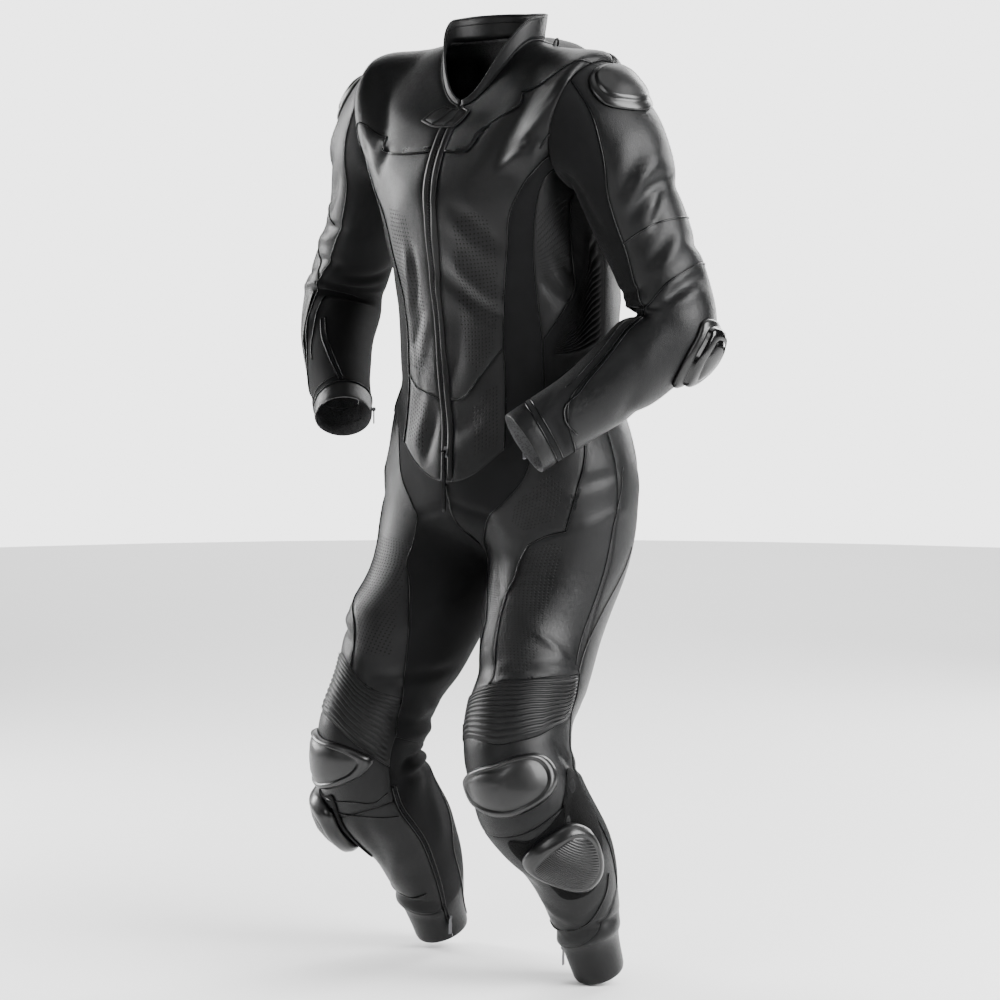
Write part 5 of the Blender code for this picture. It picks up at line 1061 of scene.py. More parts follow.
def panel(surface, number, sizes, mats):
    """One panel as a thin closed shell: outer sheet, edge and inner sheet."""
    cut, name = surface.cut, surface.cut.names[number]
    faces = cut.faces[cut.label == number]
    if surface.sign < 0:
        faces = faces[:, ::-1]
    own, index = np.unique(faces, return_inverse=True)
    faces = index.reshape(-1, 3)
    soft = any(word in name for word in STRETCH)
    wall = STRETCH_WALL if soft else LEATHER_WALL
    normals = surface.normals[own]
    points = surface.points[own] + normals * surface.lift[own][:, None]
    edges = border(faces)
    points = points + drawn_back(points, normals, edges, SEAM_GAP / 2)
    roll = -sizes.seam_depth * np.exp(-(surface.seam[own] / sizes.seam_width) ** 2)
    out = surface.rib[own] + roll * (0.6 if soft else 1.0)
    if name == "zip_band":
        out = out + placket_height(surface)[own]
    count = len(own)
    both = np.concatenate([points + normals * out[:, None], points - normals * wall])
    rim = np.stack([edges[:, 1], edges[:, 0], edges[:, 0] + count, edges[:, 1] + count], -1)
    slots = [0] * len(faces) + [1] * len(faces) + [0] * len(rim)
    obj = new_object("sewn_" + name, both, [faces, faces[:, ::-1] + count, rim], mats, slots)
    give_uv(obj, np.tile(cut.plane[own], (2, 1)))
    give_value(obj, "seam", np.tile(surface.seam[own], 2))
    for finish in ("dots", "rows", "gloss"):
        give_value(obj, finish, np.tile(zone_at(surface, own, finish), 2))
    width, length, area = smallest_cut(cut.plane[own], faces)
    if surface.rib[own].max() > 0.5 * RIB_HEIGHT or name == "zip_band":
        a, b, c = (both[faces[:, k]] for k in range(3))      # the flat size takes in the pleats
        pleats = 0.5 * np.linalg.norm(np.cross(b - a, c - a), axis=1).sum() / area
        width, area = pleats * width, pleats * area
    finish_piece(obj, name)
    area = min(area, 0.999 * width * length)


# Zones of a panel's finish: surface, finish, corners. Dots and rows are punched holes. Rows on the
# torso are on both its sides.
ZONES = (
    ("torso", "dots",
     ((11, 0.35), (21, 0.358), (29, 0.345), (31, 0.29), (28, 0.22), (25, 0.165), (15, 0.135), (9, 0.155),
      (6, 0.225), (8, 0.295))),
    ("torso", "dots",
     ((-14, 0.35), (-28, 0.36), (-33, 0.3), (-33, 0.2), (-27, 0.13), (-15, 0.125), (-12, 0.2), (-12, 0.3))),
    ("torso", "dots", ((12, 0.088), (20, 0.105), (27, 0.11), (27, 0.02), (14, 0.025))),
    ("torso", "dots", ((-12, 0.088), (-20, 0.095), (-27, 0.095), (-27, 0.02), (-14, 0.025))),
    ("torso", "rows", ((54, 0.322), (78, 0.305), (76, 0.262), (58, 0.246), (54, 0.27))),
    ("torso", "dots", ((168, 0.28), (-168, 0.28), (-172, 0.12), (172, 0.12))),
    ("leg_left", "dots",
     ((0.18, 0.08), (0.28, 0.06), (0.312, 0.09), (0.3, 0.135), (0.22, 0.14), (0.18, 0.115))),
    ("leg_left", "dots",
     ((0.256, 0.176), (0.31, 0.168), (0.339, 0.172), (0.349, 0.217), (0.344, 0.289), (0.329, 0.385),
      (0.3, 0.43), (0.212, 0.438), (0.22, 0.37), (0.24, 0.275), (0.258, 0.225))),
    ("leg_left", "rows",
     ((0.09, 0.12), (0.13, 0.18), (0.18, 0.225), (0.205, 0.26), (0.2, 0.33), (0.18, 0.38), (0.12, 0.39),
      (0.155, 0.33), (0.14, 0.27), (0.09, 0.19))),
    ("leg_right", "dots",
     ((0.16, 0.17), (0.2, 0.21), (0.185, 0.26), (0.15, 0.31), (0.11, 0.39), (0.2, 0.41), (0.25, 0.34),
      (0.32, 0.285), (0.33, 0.23), (0.3, 0.18))),
    ("leg_left", "gloss",
     ((0.376, 0.03), (0.398, 0.03), (0.368, 0.085), (0.346, 0.15), (0.33, 0.146), (0.336, 0.11),
      (0.35, 0.07))),
    ("leg_right", "gloss",
     ((0.376, 0.03), (0.398, 0.03), (0.35, 0.08), (0.33, 0.11), (0.318, 0.108), (0.335, 0.07))),
    ("torso", "gloss", ((3, 0.463), (14, 0.461), (24, 0.498), (20, 0.504), (11, 0.473), (3, 0.476))),
    ("torso", "gloss", ((-3, 0.463), (-20, 0.451), (-20, 0.462), (-3, 0.474))))


def zone_at(surface, own, finish):
    """1 at the points inside the surface's zones of one finish, else 0."""
    place = surface.cut.where[own]
    if surface.name == "torso":
        place = np.stack([place[:, 0] % 360, place[:, 1]], -1)
    found = np.zeros(len(own), bool)
    for name, kind, corners in ZONES:
        if (name, kind) == (surface.name, finish):
            corners = np.array(corners, float)
            if name == "torso":
                corners[:, 0] %= 360
                if np.ptp(corners[:, 0]) > 180:
                    raise ValueError("a zone crosses the front middle")
            found |= inside(place, corners)
            if name == "torso" and kind == "rows":
                found |= inside(place, corners * (-1, 1) + (360, 0))
    return found.astype(float)


# ---------------------------------------------------------------- materials
def arithmetic(operation, turned=False):
    """A method that adds a Math node of two values, the other one first if turned."""
    return lambda self, other: self.maths(operation, *((other, self) if turned else (self, other)))


class Wire:
    """A socket of a node tree; arithmetic on it adds Math nodes."""

    def __init__(self, shade, socket):
        self.shade, self.socket = shade, socket

    def maths(self, operation, *values):
        return self.shade.node("ShaderNodeMath", {"operation": operation}, *values)

    __add__ = __radd__ = arithmetic("ADD")
    __mul__ = __rmul__ = arithmetic("MULTIPLY")
    __sub__, __rsub__ = arithmetic("SUBTRACT"), arithmetic("SUBTRACT", True)
    __truediv__, __pow__ = arithmetic("DIVIDE"), arithmetic("POWER")

    def band(self, low, high):
        """0 below low, 1 above high, smooth between; low may be the larger."""
        return self.shade.node("ShaderNodeMapRange", {"interpolation_type": "SMOOTHSTEP"}, self, low, high)


class Shade:
    """A material in the making."""

    def __init__(self, name, **constants):
        self.material = bpy.data.materials.new(name)
        self.material.use_nodes = True
        self.tree = self.material.node_tree
        self.shader = self.tree.nodes["Principled BSDF"]
        for socket, value in constants.items():
            self.shader.inputs[socket.replace("_", " ")].default_value = value

    def node(self, kind, settings, *values, out=0, **named):
        node = self.tree.nodes.new(kind)
        for key, value in settings.items():
            setattr(node, key, value)
        for key, value in list(enumerate(values)) + [(k.replace("_", " "), v) for k, v in named.items()]:
            if isinstance(value, Wire):
                self.tree.links.new(value.socket, node.inputs[key])
            else:
                node.inputs[key].default_value = value
        return Wire(self, node.outputs[out])

    def set(self, **inputs):
        for socket, value in inputs.items():
            self.tree.links.new(value.socket, self.shader.inputs[socket.replace("_", " ")])
        return self.material

    def place(self):
        return self.node("ShaderNodeTexCoord", {}, out="Object")

    def noise(self, scale, detail=2.0, roughness=0.5):
        return self.node("ShaderNodeTexNoise", {}, Vector=self.place(), Scale=scale, Detail=detail,
                         Roughness=roughness)

    def cells(self, scale, feature="DISTANCE_TO_EDGE"):
        return self.node("ShaderNodeTexVoronoi", {"feature": feature}, Vector=self.place(), Scale=scale,
                         out="Distance")

    def zone(self, name):
        return self.node("ShaderNodeAttribute", {"attribute_name": name}, out="Fac")

    def cut_metres(self):
        """The two coordinates of the flat cut."""
        uv = self.node("ShaderNodeUVMap", {"uv_map": "Cut"})
        split = self.node("ShaderNodeSeparateXYZ", {}, uv)
        return split, Wire(self, split.socket.node.outputs[1])

    def mix(self, share, low, high):
        node = self.tree.nodes.new("ShaderNodeMix")
        node.data_type = "RGBA"
        for key, value in ((0, share), (6, low), (7, high)):
            if isinstance(value, Wire):
                self.tree.links.new(value.socket, node.inputs[key])
            else:
                node.inputs[key].default_value = value if key == 0 else (*value, 1.0)
        return Wire(self, node.outputs[2])

    def bump(self, *layers):
        """Bump from (height, metres) layers, one over the other."""
        normal = None
        for height, distance in layers:
            named = {"Height": height, "Distance": distance}
            if normal is not None:
                named["Normal"] = normal
            normal = self.node("ShaderNodeBump", {}, **named)
        return normal


def shaded(colour, factor):
    return tuple(channel * factor for channel in colour)


def perforation(shade, pitch, row, radius):
    """1 inside the holes of a grid on the flat cut: each point's distance from its cell's middle."""
    across, along = shade.cut_metres()
    x = across / pitch
    x = (x - x.maths("FLOOR", x) - 0.5) * pitch
    y = along / row
    y = (y - y.maths("FLOOR", y) - 0.5) * row
    away = (x * x + y * y) ** 0.5
    return away.band(radius * 1.2, radius * 0.75)


def leather(name, colour, roughness, grain=1.0, panels=True):
    """Cowhide: pebbled grain, soft wrinkles, uneven sheen, holes and gloss where a panel has them, and
    painted shade along a panel's seams.
    """
    shade = Shade(name, Specular_IOR_Level=0.22)
    pebble = shade.cells(640.0).band(0.0, 0.35)
    wrinkle = shade.noise(95.0, 4.0, 0.6)
    broad = shade.noise(14.0, 3.0, 0.5)
    tone = shade.mix(broad.band(0.3, 0.75), shaded(colour, 0.75), shaded(colour, 1.25))
    rough = broad.band(0.25, 0.8) * 0.10 + (roughness - 0.05) + pebble * -0.05
    layers = [(wrinkle, 0.0003 * grain), (pebble, 0.00012 * grain)]
    if panels:
        gloss = shade.zone("gloss").band(0.3, 0.7)
        worn = shade.noise(22.0, 2.0).band(0.35, 0.6)
        rough = rough - gloss * 0.22 * worn
        dots = perforation(shade, 0.0056, 0.0056, 0.0014) * shade.zone("dots").band(0.4, 0.6)
        rows = perforation(shade, 0.0030, 0.0046, 0.0009) * shade.zone("rows").band(0.4, 0.6)
        hole = dots.maths("MAXIMUM", dots, rows)
        tone = shade.mix(hole, tone, (0.0005, 0.0005, 0.0005))
        rough = rough + hole * 0.4
        layers.append((1.0 - hole, 0.0004))
        # Painted shade: the leather is darkened within 3.5 mm of each seam, where its sewn edge rolls in.
        edge = shade.zone("seam").band(0.0035, 0.0)
        tone = shade.mix(edge * 0.6, tone, shaded(colour, 0.35))
    return shade.set(Base_Color=tone, Roughness=rough, Normal=shade.bump(*layers))


def stretch_cloth(name, colour):
    """Matt stretch cloth with a fine diagonal weave."""
    shade = Shade(name, Sheen_Weight=0.03, Sheen_Roughness=0.5, Specular_IOR_Level=0.10)
    across, along = shade.cut_metres()
    one = (across + along) * 3500.0
    two = (across - along) * 3500.0
    weave = one.maths("SINE", one) * two.maths("SINE", two)
    broad = shade.noise(30.0, 3.0)
    tone = shade.mix(broad.band(0.3, 0.8), shaded(colour, 0.8), shaded(colour, 1.2))
    return shade.set(Base_Color=tone, Roughness=broad * 0.1 + 0.72, Normal=shade.bump((weave, 0.00012)))


def hard_plastic(name, colour, roughness):
    """Polished moulded plastic, faintly uneven and scuffed."""
    shade = Shade(name, Specular_IOR_Level=0.4, Coat_Weight=0.12, Coat_Roughness=0.15)
    scuff = shade.noise(220.0, 5.0, 0.7)
    broad = shade.noise(18.0)
    tone = shade.mix(broad, shaded(colour, 0.8), shaded(colour, 1.2))
    return shade.set(Base_Color=tone, Roughness=scuff.band(0.5, 0.8) * 0.15 + roughness,
                     Normal=shade.bump((broad, 0.0006), (scuff, 0.00003)))


def ribbed_plate(name, colour):
    """The face of a knee slider: fine slanted ribs, with painted shade in their grooves and painted highlight
    on their crests.
    """
    shade = Shade(name, Specular_IOR_Level=0.3)
    split = shade.node("ShaderNodeSeparateXYZ", {}, shade.place())
    up = Wire(shade, split.socket.node.outputs[2])
    rib = ((split + up) * 1500.0).maths("SINE", (split + up) * 1500.0)
    scuff = shade.noise(160.0, 5.0, 0.7)
    # Painted shade and highlight: the colour is darker in the ribs' grooves and lighter on their crests, in
    # step with their bump.
    return shade.set(Base_Color=shade.mix(rib.band(-0.8, 0.8), shaded(colour, 0.6), shaded(colour, 1.4)),
                     Roughness=scuff * 0.2 + 0.24, Normal=shade.bump((rib, 0.0003), (scuff, 0.00008)))


def hook_pile(name, colour):
    """The loop side of a hook-and-loop patch: a short dense pile."""
    shade = Shade(name, Sheen_Weight=0.05, Sheen_Roughness=0.5, Specular_IOR_Level=0.08)
    loops = shade.cells(900.0, "F1")
    tone = shade.mix(loops.band(0.1, 0.7), shaded(colour, 1.5), shaded(colour, 0.5))
    return shade.set(Base_Color=tone, Roughness=loops * 0.1 + 0.88, Normal=shade.bump((loops, 0.0007)))


def dark_metal(name, colour, roughness):
    shade = Shade(name, Metallic=1.0)
    scratch = shade.noise(400.0, 4.0)
    return shade.set(Base_Color=shade.mix(scratch, shaded(colour, 0.8), shaded(colour, 1.2)),
                     Roughness=scratch * 0.2 + (roughness - 0.1), Normal=shade.bump((scratch, 0.00005)))


def plain_lining(name, colour):
    """The inside of the suit: a plain dark mesh lining, its colour lightened as painted light."""
    shade = Shade(name, Specular_IOR_Level=0.2)
    holes = shade.cells(420.0, "F1")
    return shade.set(Base_Color=shade.mix(holes.band(0.2, 0.5), shaded(colour, 0.5), colour),
                     Roughness=holes * 0.1 + 0.8, Normal=shade.bump((holes, 0.0003)))


MATERIALS = {}


def make_materials(colours):
    hide, cloth, hard, patch, metal, lining = (
        tuple(getattr(colours, name)) for name in ("leather", "stretch", "plate", "patch", "metal", "lining"))
    MATERIALS.update({
        "leather": leather("Leather", hide, 0.40),
        "trim": leather("Gloss trim", hide, 0.24, 0.4, False),
        "soft": leather("Soft leather", hide, 0.5, 0.8, False),
        "stretch": stretch_cloth("Stretch cloth", cloth),
        "ribs": leather("Accordion leather", shaded(hide, 0.7), 0.46, 0.5, False),
        "plate": hard_plastic("Moulded plastic", hard, 0.34),
        "ridged": ribbed_plate("Ribbed plastic", hard),
        "knob": hard_plastic("Polished knob", hard, 0.14),
        "dull_plate": hard_plastic("Satin plastic", hard, 0.44),
        "patch": hook_pile("Loop pile", patch),
        "metal": dark_metal("Gunmetal", metal, 0.32),
        "teeth": dark_metal("Blackened teeth", shaded(metal, 0.2), 0.5),
        "lining": plain_lining("Lining", lining),
        "thread": stretch_cloth("Thread", shaded(hide, 4.0)),
    })


# ---------------------------------------------------------------- plates
def outline_of(name, surface, count):
    """A plate's outline on the flat cut, evenly spaced, and its middle."""
    rows = [(a, b + PLATE_SHIFT.get((name, surface.name), 0.0)) for a, b in OUTLINES[name]]
    line = surface.cut.to_plane(closed_rows(rows, surface.cut.scale, 0.003))
    at = np.linspace(0, distances(line)[-1], count, endpoint=False)
    middle = PLATE_PEAK.get(name, tuple(np.array(rows).mean(0)))
    return places_on(line, at)[0], surface.cut.to_plane([middle])[0]


def on_surface(surface, plane, out):
    """Points of flat-cut places, moved out, and normals."""
    where = np.stack([plane[:, 0] / surface.cut.scale(plane[:, 1]), plane[:, 1]], -1)
    return surface.spot(where, out)


def skin(count, width):
    """Quads between rings of points, and the fans that close the first ring and the last."""
    i, j = np.arange(count - 1)[:, None] * width, np.arange(width)
    k, end, pole = (j + 1) % width, (count - 1) * width, np.full(width, count * width)
    quads = np.stack([i + j, i + k, i + width + k, i + width + j], -1).reshape(-1, 4)
    return quads, np.concatenate([np.stack([k, j, pole], -1), np.stack([end + j, end + k, pole + 1], -1)])


def lofted(name, rows, mats):
    """A closed skin through rings of equal count, the first and last drawn to a point."""
    rows = np.asarray(rows)
    points = np.concatenate([rows[1:-1].reshape(-1, 3), rows[[0, -1]].mean(1)])
    return new_object(name, points, skin(len(rows) - 2, rows.shape[1]), mats)


def outward(obj):
    """Turns a closed mesh the right way round, by the sign of its volume."""
    obj.data.calc_loop_triangles()
    points = np.empty(len(obj.data.vertices) * 3, np.float32)
    obj.data.vertices.foreach_get("co", points)
    index = np.empty(len(obj.data.loop_triangles) * 3, np.int32)
    obj.data.loop_triangles.foreach_get("vertices", index)
    a, b, c = points.reshape(-1, 3).astype(float)[index.reshape(-1, 3)].transpose(1, 0, 2)
    if (a * np.cross(b, c)).sum() < 0:
        obj.data.flip_normals()
    return obj


def around_mean(ring):
    """Each point of a ring as a quarter of each neighbour and half of its own place."""
    return (np.roll(ring, 1, axis=0) + 2 * ring + np.roll(ring, -1, axis=0)) / 4


def dome(surface, name, label, profile, mats, push=None, count=112, inner=None):
    """A plate: rings of its outline drawn towards its middle, each lifted by the profile.

    A point is middle + (outline - middle) * factor on the flat cut, moved out by the ring's lift,
    and where `push` is given, more and more that way. Rings with a factor under `inner` take the
    second material.
    """
    line, middle = outline_of(name, surface, count)
    rows = [(0.0, 0.0), (0.5, 0.0), (0.985, 0.0)] + list(profile)
    rings = []
    for factor, lift in rows:
        plane = middle + (line - middle) * max(factor, 1e-4)
        base, normals = on_surface(surface, plane, LIFT + PLATE_BELOW.get(name, 0.0))
        if push is not None:
            blend = ease((lift - profile[0][1]) / 0.02)
            normals = unit(normals * (1 - 0.8 * blend) + np.array(push) * blend)
        rings.append(base + normals * lift)
    if push is not None:
        for _ in range(HUMP_PASSES):
            rings[4:-1] = [around_mean((before + 2 * ring + after) / 4)
                           for before, ring, after in zip(rings[3:-2], rings[4:-1], rings[5:])]
    obj = outward(lofted(label, rings, mats))
    if inner is not None:
        factors = np.array([factor for factor, _ in rows])
        dull = (factors[1:-2] < inner) & (np.arange(len(rows) - 3) > 2)
        ends = np.concatenate([np.zeros(count), np.ones(count)])
        slots = np.concatenate([np.repeat(dull, count), ends])
        obj.data.polygons.foreach_set("material_index", slots.astype(np.int32))
    return obj


def rounded_profile(loops, steps):
    """Lift from the rim to the middle: the loops of the solid plate, smoothed three times."""
    factors, lifts = np.array(loops + ((0.0, loops[-1][1]),)).T
    at = 1 - np.linspace(0, 1, steps) ** 1.4
    smooth = np.interp(at, factors[::-1], lifts[::-1])
    kernel = np.array([0.25, 0.5, 0.25])
    for _ in range(3):
        smooth[1:-1] = np.convolve(smooth, kernel, "valid")
    return [(float(f), float(h)) for f, h in zip(at, smooth)]


PROFILES = {  # (share of the outline, lift) from the rim to the middle
    "knee_cup": (
        (1.0, 0.0012), (0.995, 0.003), (0.97, 0.005), (0.93, 0.0074), (0.89, 0.0092), (0.85, 0.0099),
        (0.81, 0.0097), (0.785, 0.0086), (0.77, 0.0074), (0.75, 0.0074), (0.66, 0.0094), (0.5, 0.0113),
        (0.3, 0.0126), (0.12, 0.0131), (0.0, 0.0132)),
    "shoulder_cup": (
        (1.0, 0.0012), (0.99, 0.003), (0.95, 0.0044), (0.88, 0.0056), (0.82, 0.006), (0.79, 0.0064),
        (0.77, 0.0082), (0.74, 0.0096), (0.7, 0.0104), (0.67, 0.0104), (0.5, 0.0128), (0.3, 0.0144),
        (0.12, 0.015), (0.0, 0.0151)),
    "knee_slider": (
        (1.0, 0.003), (0.995, 0.006), (0.98, 0.0094), (0.95, 0.0124), (0.92, 0.0142), (0.88, 0.0166),
        (0.84, 0.0188), (0.8, 0.0202), (0.74, 0.0212), (0.72, 0.0206), (0.7, 0.0206), (0.68, 0.0216),
        (0.5, 0.0238), (0.3, 0.0254), (0.12, 0.026), (0.0, 0.026)),
    "elbow_slider": (
        (1.0, 0.0018), (0.99, 0.0042), (0.96, 0.0064), (0.91, 0.0078), (0.84, 0.0086), (0.8, 0.009),
        (0.78, 0.0104), (0.755, 0.015), (0.72, 0.0178), (0.67, 0.019), (0.52, 0.0204), (0.5, 0.0198),
        (0.48, 0.0198), (0.46, 0.0208), (0.3, 0.0222), (0.12, 0.023), (0.0, 0.0231)),
    "knee_patch": (
        (1.0, 0.0006), (0.995, 0.0014), (0.975, 0.0019), (0.95, 0.0017), (0.92, 0.002), (0.5, 0.0021),
        (0.0, 0.0021)),
    "collar_tab": (
        (1.0, 0.0008), (0.985, 0.002), (0.94, 0.0026), (0.86, 0.0026), (0.84, 0.0019), (0.82, 0.0026),
        (0.5, 0.0028), (0.0, 0.0028)),
}
INNER = {"knee_cup": (0.76, "dull_plate"), "shoulder_cup": (0.69, "dull_plate"),
         "elbow_slider": (0.79, "knob"), "knee_slider": (0.69, "ridged")}


def finish_piece(obj, node=None):
    """A piece of the suit, attached to the suit's body; node is the solid that it stands for, which is
    hidden.
    """
    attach(obj, "suit")
    if node:
        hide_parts(node)
    return obj


# ---------------------------------------------------------------- operators
def length(name, words, default):
    return FloatProperty(name=name, description=words, default=default, unit="LENGTH")


def colour(name, words, default):
    return FloatVectorProperty(name=name, description=words, subtype="COLOR", default=default)


class SuitSizes(bpy.types.PropertyGroup):
    """Sizes a user may change."""
    seam_depth: length("Seam depth", "How far a sewn edge rolls in", 0.0009)
    seam_width: length("Seam width", "Reach of the rolled edge", 0.0026)
    stitch: length("Stitch", "Length of one stitch with its gap", 0.0034)


class SuitColours(bpy.types.PropertyGroup):
    """Colours a user may change."""
    leather: colour("Leather", "Cowhide", (0.0022, 0.0023, 0.0025))
    stretch: colour("Stretch cloth", "Woven stretch panels", (0.0036, 0.0037, 0.0040))
    plate: colour("Plates", "Hard plates", (0.0018, 0.0018, 0.0019))
    patch: colour("Loop patch", "Knee patches", (0.0012, 0.0012, 0.0013))
    metal: colour("Metal", "Sliders and pulls", (0.10, 0.10, 0.105))
    # Painted light: the lining's colour is lightened to stand in for light on the unlit inside of the neck.
    lining: colour("Lining", "Inside of the suit", (0.080, 0.080, 0.082))


class SUIT_OT_panels(bpy.types.Operator):
    """Cuts the surfaces and makes every sewn panel"""
    bl_idname = "suit.panels"
    bl_label = "Sewn panels"

    def execute(self, context):
        make_materials(context.scene.suit_colours)
        make_surfaces()
        for surface in SURFACES.values():
            for number, name in enumerate(surface.cut.names):
                kind = ("ribs" if "ribs" in name or name == "zip_band" else
                        "stretch" if any(w in name for w in STRETCH) else "leather")
                panel(surface, number, context.scene.suit_sizes, [MATERIALS[kind], MATERIALS["lining"]])
        return {"FINISHED"}


class SUIT_OT_collar(bpy.types.Operator):
    """Stand-up collar"""
    bl_idname = "suit.collar"
    bl_label = "Collar"

    def execute(self, context):
        obj = finish_piece(collar(), "collar")
        return {"FINISHED"}


COLLAR_SHAPE = ((0.02, 0.0), (0.25, 0.0), (0.6, 0.0), (0.88, 0.0), (0.97, 0.15), (1.0, 0.5), (0.97, 0.85),
                (0.88, 1.0), (0.6, 1.0), (0.25, 1.0), (0.02, 1.0))

COLLAR_PLACES = np.linspace(1.5, 358.5, 150)
COLLAR_WALL, COLLAR_FOOT = 0.003, 0.0006
# Cords of the neck: share of the collar's height, how far in, radius. Then the cords along its tab.
NECK_CORDS = ((0.995, 0.0015, 0.0017), (0.70, 0.0036, 0.0007), (0.04, -0.0006, 0.0010))
TAB_CORDS = (((-4.5, 0.572), (-6.5, 0.540), (-8.5, 0.514)), ((3.5, 0.572), (1.5, 0.545), (-1.5, 0.516)))


def collar_frame(degrees):
    """Foot of the collar, its directions, height and inward lean at places round the neck."""
    folded = np.minimum(degrees, 360 - degrees)
    height, lean = (column(COLLAR, ("at", "height", "lean"), name, folded) for name in ("height", "lean"))
    base = torso(degrees, TORSO_TOP)
    inward = unit((np.array([0.0, 0.012, 0.0]) - base) * np.array([1.0, 1.0, 0.0]))
    return base, np.array([0.0, 0.0, 1.0]), inward, height, lean


def collar():
    """A band carried round the neck: a section with a round top, from one front end to the other."""
    base, up, inward, height, lean = collar_frame(COLLAR_PLACES)
    section = np.stack([base + up * (height * t + COLLAR_FOOT)[:, None]
                        + inward * (lean * t + COLLAR_WALL * w)[:, None] for t, w in COLLAR_SHAPE], 1)
    ends = section[[0, -1]].mean(1)
    rings = np.concatenate([np.repeat(ends[:1, None], section.shape[1], 1), section,
                            np.repeat(ends[1:, None], section.shape[1], 1)])
    return outward(lofted("sewn_collar", rings, [MATERIALS["soft"]]))


class SUIT_OT_plates(bpy.types.Operator):
    """Back hump, shoulder cups, elbow sliders, knee cups, patches and sliders, collar tab"""
    bl_idname = "suit.plates"
    bl_label = "Plates and patches"

    def execute(self, context):
        torso_surface, soft = SURFACES["torso"], [MATERIALS["soft"]]
        obj = dome(torso_surface, "back_hump", "moulded_back_hump", rounded_profile(HUMP_LOOPS, HUMP_STEPS),
                   soft, HUMP_PUSH, HUMP_POINTS)
        finish_piece(obj, "back_hump")
        obj = dome(torso_surface, "collar_tab", "sewn_collar_tab", PROFILES["collar_tab"], soft)
        finish_piece(obj, "collar_tab")
        for side, word in SIDE_NAMES.items():
            for name in SLEEVE_PLATES + LEG_PLATES:
                surface = SURFACES[("sleeve_" if name in SLEEVE_PLATES else "leg_") + word]
                inner, finish = INNER.get(name, (None, "plate"))
                mats = ([MATERIALS["patch"]] if name == "knee_patch" else
                        [MATERIALS["plate"], MATERIALS[finish]])
                node = name + "_" + word
                obj = dome(surface, name, "moulded_" + node, PROFILES[name], mats, inner=inner)
                finish_piece(obj, node)
        return {"FINISHED"}


# ---------------------------------------------------------------- trims
def cord_mesh(points, radius, sides=8):
    """Points and faces of a round cord: a circle carried along a path, closed by a fan at each end."""
    points = np.asarray(points, float)
    along = unit(np.gradient(points, axis=0))
    guide = np.array([0.31, 0.52, 0.79])
    across = unit(np.cross(along, guide))
    other = np.cross(along, across)
    turn = 2 * np.pi * np.arange(sides) / sides
    ring = (across[:, None] * np.cos(turn)[:, None] + other[:, None] * np.sin(turn)[:, None]) * radius
    rings = points[:, None] + ring
    return np.concatenate([rings.reshape(-1, 3), points[[0, -1]]]), *skin(len(points), sides)


def joined_parts(name, parts, mats):
    """One object from many (points, quads, triangles)."""
    points, quads, caps = zip(*parts)
    first = np.concatenate([[0], np.cumsum([len(part) for part in points])[:-1]])
    faces = [np.concatenate([part + at for part, at in zip(kind, first)]) for kind in (quads, caps)]
    return new_object(name, np.concatenate(points), faces, mats)


def trim_path(surface, rows, out):
    """Points of a trim over the surface, through its rows."""
    line = np.array(smooth_rows(rows, surface.cut.scale, 0.004))
    return surface.spot(line, out)[0]


def trims_of(surface):
    """(rows, radius) of every piping and cord on one surface."""
    side = -1 if surface.name.endswith("right") else 1
    if surface.name == "torso":
        out = []
        for side in (1, -1):
            out += [(torso_rows(rows, side), radius) for rows, radius in (
                (YOKE_SEAM[side], 0.0011), (STRIP_INNER, 0.0012), (STRIP_OUTER, 0.0009),
                (SIDE_SEAM, 0.0008), (SHOULDER_CORD, 0.0014), (CHEST_SEAM[side], 0.0007))]
        return out
    if surface.name.startswith("leg"):
        return ([(rows, radius) for name, rows, radius in LEG_CORDS if name in surface.name]
                + [(LEG_FRONT[side], 0.0011), (LEG_INNER[side], 0.0008), (HIP_CORD, 0.0009),
                 (THIGH_CORD, 0.0009), (SHIN_CORD, 0.0013), (LEG_SIDE[8:], 0.0008)]
                + [(rows, 0.0011) for rows in CALF_ZIP])
    front, forearm, cuff = sleeve_seams(side)
    return ([(front, 0.0010), (forearm, 0.0010), (SLEEVE_CROSS, 0.0014), (cuff, 0.0009)]
            + [([(u, s * FOREARM_SCALE[side]) for u, s in rows], radius)
               for rows, radius in ((FOREARM_CORD, 0.0016), (UPPER_CORD, 0.0010), (CUFF_CORD, 0.0009))]
            + [(rows, 0.0011) for rows in CUFF_ZIP[side]])


SHOULDER_CORD = ((53, 0.378), (57, 0.392), (65, 0.405), (74, 0.419), (82, 0.452), (84, 0.47))
HIP_CORD = ((0.515, 0.07), (0.5, 0.11), (0.478, 0.15), (0.47, 0.23), (0.462, 0.3), (0.455, 0.385))
THIGH_CORD = ((0.58, 0.19), (0.545, 0.24), (0.505, 0.3), (0.48, 0.36), (0.47, 0.392))
SHIN_CORD = ((0.06, 0.757), (0.14, 0.763), (0.23, 0.76), (0.3, 0.75), (0.36, 0.733), (0.41, 0.71),
             (0.44, 0.69))
LEG_CORDS = (("right", ((0.814, 0.574), (0.835, 0.657), (0.894, 0.717), (0.861, 0.787), (0.81, 0.842)),
              0.0012),
             ("right", ((0.283, 0.576), (0.2, 0.574), (0.126, 0.573), (0.06, 0.577), (0.015, 0.568)),
              0.0011),
             ("right", ((0.225, 0.584), (0.16, 0.588), (0.114, 0.592), (0.05, 0.6), (0.012, 0.608)), 0.0011),
             ("left", ((0.06, 0.48), (0.063, 0.5), (0.068, 0.52)), 0.0008))
CALF_ZIP = (((0.985, 0.56), (0.985, 0.65), (0.985, 0.74), (0.985, 0.835)),
            ((0.999, 0.56), (0.999, 0.65), (0.999, 0.74), (0.999, 0.835)))
SLEEVE_CROSS = ((0.29, 0.188), (0.34, 0.183), (0.413, 0.179), (0.5, 0.182), (0.625, 0.19))
